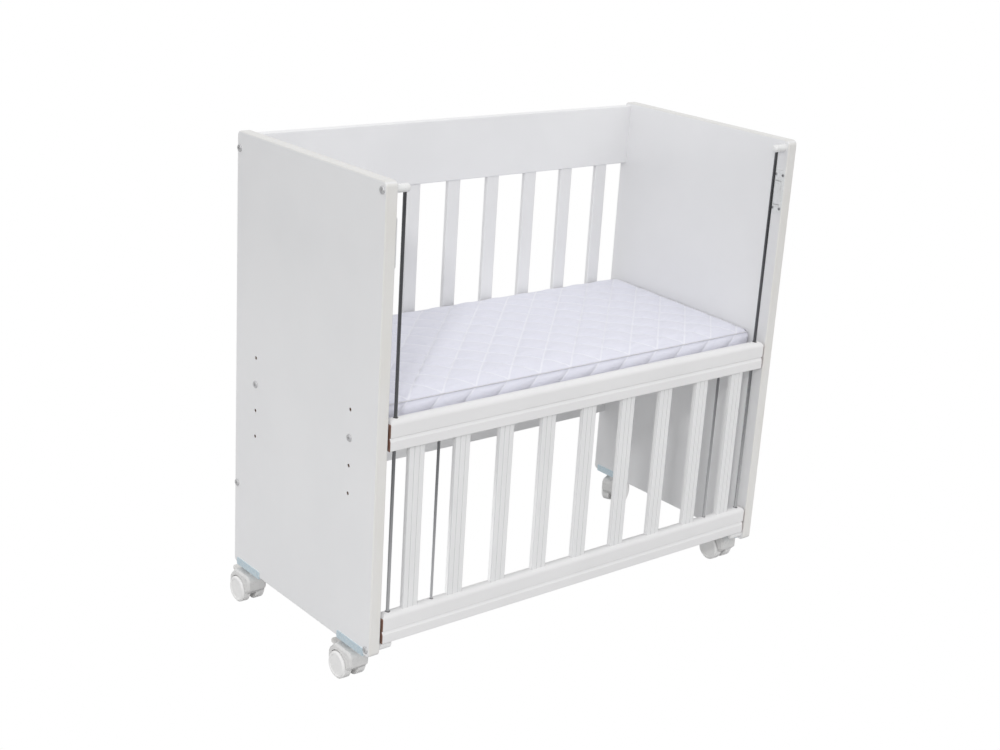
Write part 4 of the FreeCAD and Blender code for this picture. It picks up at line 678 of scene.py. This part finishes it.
def recess_painted_shade_crosses():
    """The cross recess in each head of the catch plates' screws, drawn as a thin dark cross of painted
    shade.
    """
    mesh = bmesh.new()
    screws_low, screws_high = (Vector(corner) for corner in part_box("latch_screws"))
    rows = (screws_low.z + LATCH_HEAD / 2, screws_high.z - LATCH_HEAD / 2)
    columns = (screws_low.y + LATCH_HEAD / 2, screws_high.y - LATCH_HEAD / 2)
    for head_x in (LATCH_HEAD_X - PANEL_INNER_X, PANEL_INNER_X - LATCH_HEAD_X):
        for y in columns:
            for z in rows:
                for size_y, size_z in ((RECESS_LENGTH, RECESS_WIDTH), (RECESS_WIDTH, RECESS_LENGTH)):
                    spot = Matrix.Translation((head_x, y, z))
                    size = Matrix.Diagonal((2 * RECESS_SHOWS, size_y, size_z, 1))
                    bmesh.ops.create_cube(mesh, size=1, matrix=spot @ size)
    piece = piece_from("latch_screw_recess_painted_shade", mesh)
    # Painted shade: near-black plastic stands in for the shade inside each recess.
    piece.data.materials.append(looks["bush_plastic"])
    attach(piece, "frame")


# ---------------------------------------------------------------- studio

PURE_WHITE = (1, 1, 1, 1)
FLOOR_SIZE = 14
SWEEP_RADIUS = 2.2  # the floor's reflectance falls off from here
SWEEP_WIDTH = 0.6  # over this distance
FLOOR_NEAR = 0.60  # reflectance under the crib
FLOOR_FAR = 0.05  # and beyond the sweep
STUDIO_WHITE = (0.99, 0.992, 1.0, 1)
STUDIO_STRENGTH = 0.94
CRIB_MIDDLE = (0, 0, 0.5)

CAMERA_PLACE = (-1.87031, -2.20566, 1.41511)
CAMERA_YAW = math.radians(-39.797)
CAMERA_PITCH = math.radians(18.769)
CAMERA_ROLL = math.radians(3.645)
SENSOR_WIDTH = 36  # millimetres, as the lens
LENS = 57.586
CLIP_END = 60


def white_to_camera(tree, output, lit, white):
    """Join two shaders: one for the light, and a plain white that only the camera sees."""
    path = tree.nodes.new("ShaderNodeLightPath")
    mixed = tree.nodes.new("ShaderNodeMixShader")
    tree.links.new(path.outputs["Is Camera Ray"], mixed.inputs[0])
    tree.links.new(lit.outputs[0], mixed.inputs[1])
    tree.links.new(white.outputs[0], mixed.inputs[2])
    tree.links.new(mixed.outputs[0], output.inputs[0])


def white_floor():
    """A pale floor that the camera sees as plain white, and that is dark beyond its sweep."""
    bpy.ops.mesh.primitive_plane_add(size=FLOOR_SIZE, location=(0, 0, 0))
    floor = bpy.context.object
    floor.name = "studio_floor"
    material = bpy.data.materials.new("studio_floor")
    material.use_nodes = True
    tree = material.node_tree
    tree.nodes.clear()
    output = tree.nodes.new("ShaderNodeOutputMaterial")
    place = tree.nodes.new("ShaderNodeTexCoord")
    distance = tree.nodes.new("ShaderNodeVectorMath")
    distance.operation = "LENGTH"
    sweep = tree.nodes.new("ShaderNodeMapRange")
    sweep.inputs["From Min"].default_value = SWEEP_RADIUS
    sweep.inputs["From Max"].default_value = SWEEP_RADIUS + SWEEP_WIDTH
    sweep.inputs["To Min"].default_value = FLOOR_NEAR
    sweep.inputs["To Max"].default_value = FLOOR_FAR
    plain = tree.nodes.new("ShaderNodeBsdfDiffuse")
    tree.links.new(place.outputs["Object"], distance.inputs[0])
    tree.links.new(distance.outputs["Value"], sweep.inputs["Value"])
    tree.links.new(sweep.outputs["Result"], plain.inputs["Color"])
    seen = tree.nodes.new("ShaderNodeEmission")
    seen.inputs["Color"].default_value = PURE_WHITE
    white_to_camera(tree, output, plain, seen)
    floor.data.materials.append(material)


def white_surroundings():
    """Even light from all round, which the camera sees as plain white."""
    world = bpy.data.worlds.new("studio")
    bpy.context.scene.world = world
    world.use_nodes = True
    tree = world.node_tree
    tree.nodes.clear()
    output = tree.nodes.new("ShaderNodeOutputWorld")
    light = tree.nodes.new("ShaderNodeBackground")
    light.inputs["Color"].default_value = STUDIO_WHITE
    light.inputs["Strength"].default_value = STUDIO_STRENGTH
    seen = tree.nodes.new("ShaderNodeBackground")
    seen.inputs["Color"].default_value = PURE_WHITE
    white_to_camera(tree, output, light, seen)


def softbox(name, place, target, size, power):
    """A rectangular lamp that points at a target and doesn't show."""
    data = bpy.data.lights.new(name, "AREA")
    data.shape = "RECTANGLE"
    data.size, data.size_y = size
    data.energy = power
    lamp = put_in_scene(name, data)
    lamp.location = place
    lamp.visible_camera = False
    aim = Vector(target) - Vector(place)
    lamp.rotation_euler = aim.to_track_quat("-Z", "Y").to_euler()


def camera():
    """The photograph's own viewpoint, with its slight roll."""
    back = Vector((math.sin(CAMERA_YAW) * math.cos(CAMERA_PITCH),
                   -math.cos(CAMERA_YAW) * math.cos(CAMERA_PITCH), math.sin(CAMERA_PITCH)))
    right = Vector((math.cos(CAMERA_YAW), math.sin(CAMERA_YAW), 0))
    up = back.cross(right)
    across = right * math.cos(CAMERA_ROLL) + up * math.sin(CAMERA_ROLL)
    upward = up * math.cos(CAMERA_ROLL) - right * math.sin(CAMERA_ROLL)
    turned = Matrix((across, upward, back)).transposed().to_4x4()
    data = bpy.data.cameras.new("camera")
    data.sensor_fit = "HORIZONTAL"
    data.sensor_width = SENSOR_WIDTH
    data.lens = LENS
    data.clip_end = CLIP_END
    eye = put_in_scene("camera", data)
    eye.matrix_world = Matrix.Translation(CAMERA_PLACE) @ turned
    bpy.context.scene.camera = eye


dress_nodes()
make_mattress()
recess_painted_shade_crosses()
white_floor()
white_surroundings()
softbox("key", place=(-5.4, -4.6, 4.2), target=CRIB_MIDDLE, size=(0.6, 0.6), power=118)
softbox("front_fill", place=(0.9, -3.4, 1.9), target=CRIB_MIDDLE, size=(2.2, 2.2), power=6)
softbox("low_bounce", place=(-0.38, 0, 0.14), target=(0.46, -0.05, 0.10), size=(0.3, 0.2), power=0.4)
camera()
bpy.context.scene.view_settings.view_transform = "Standard"
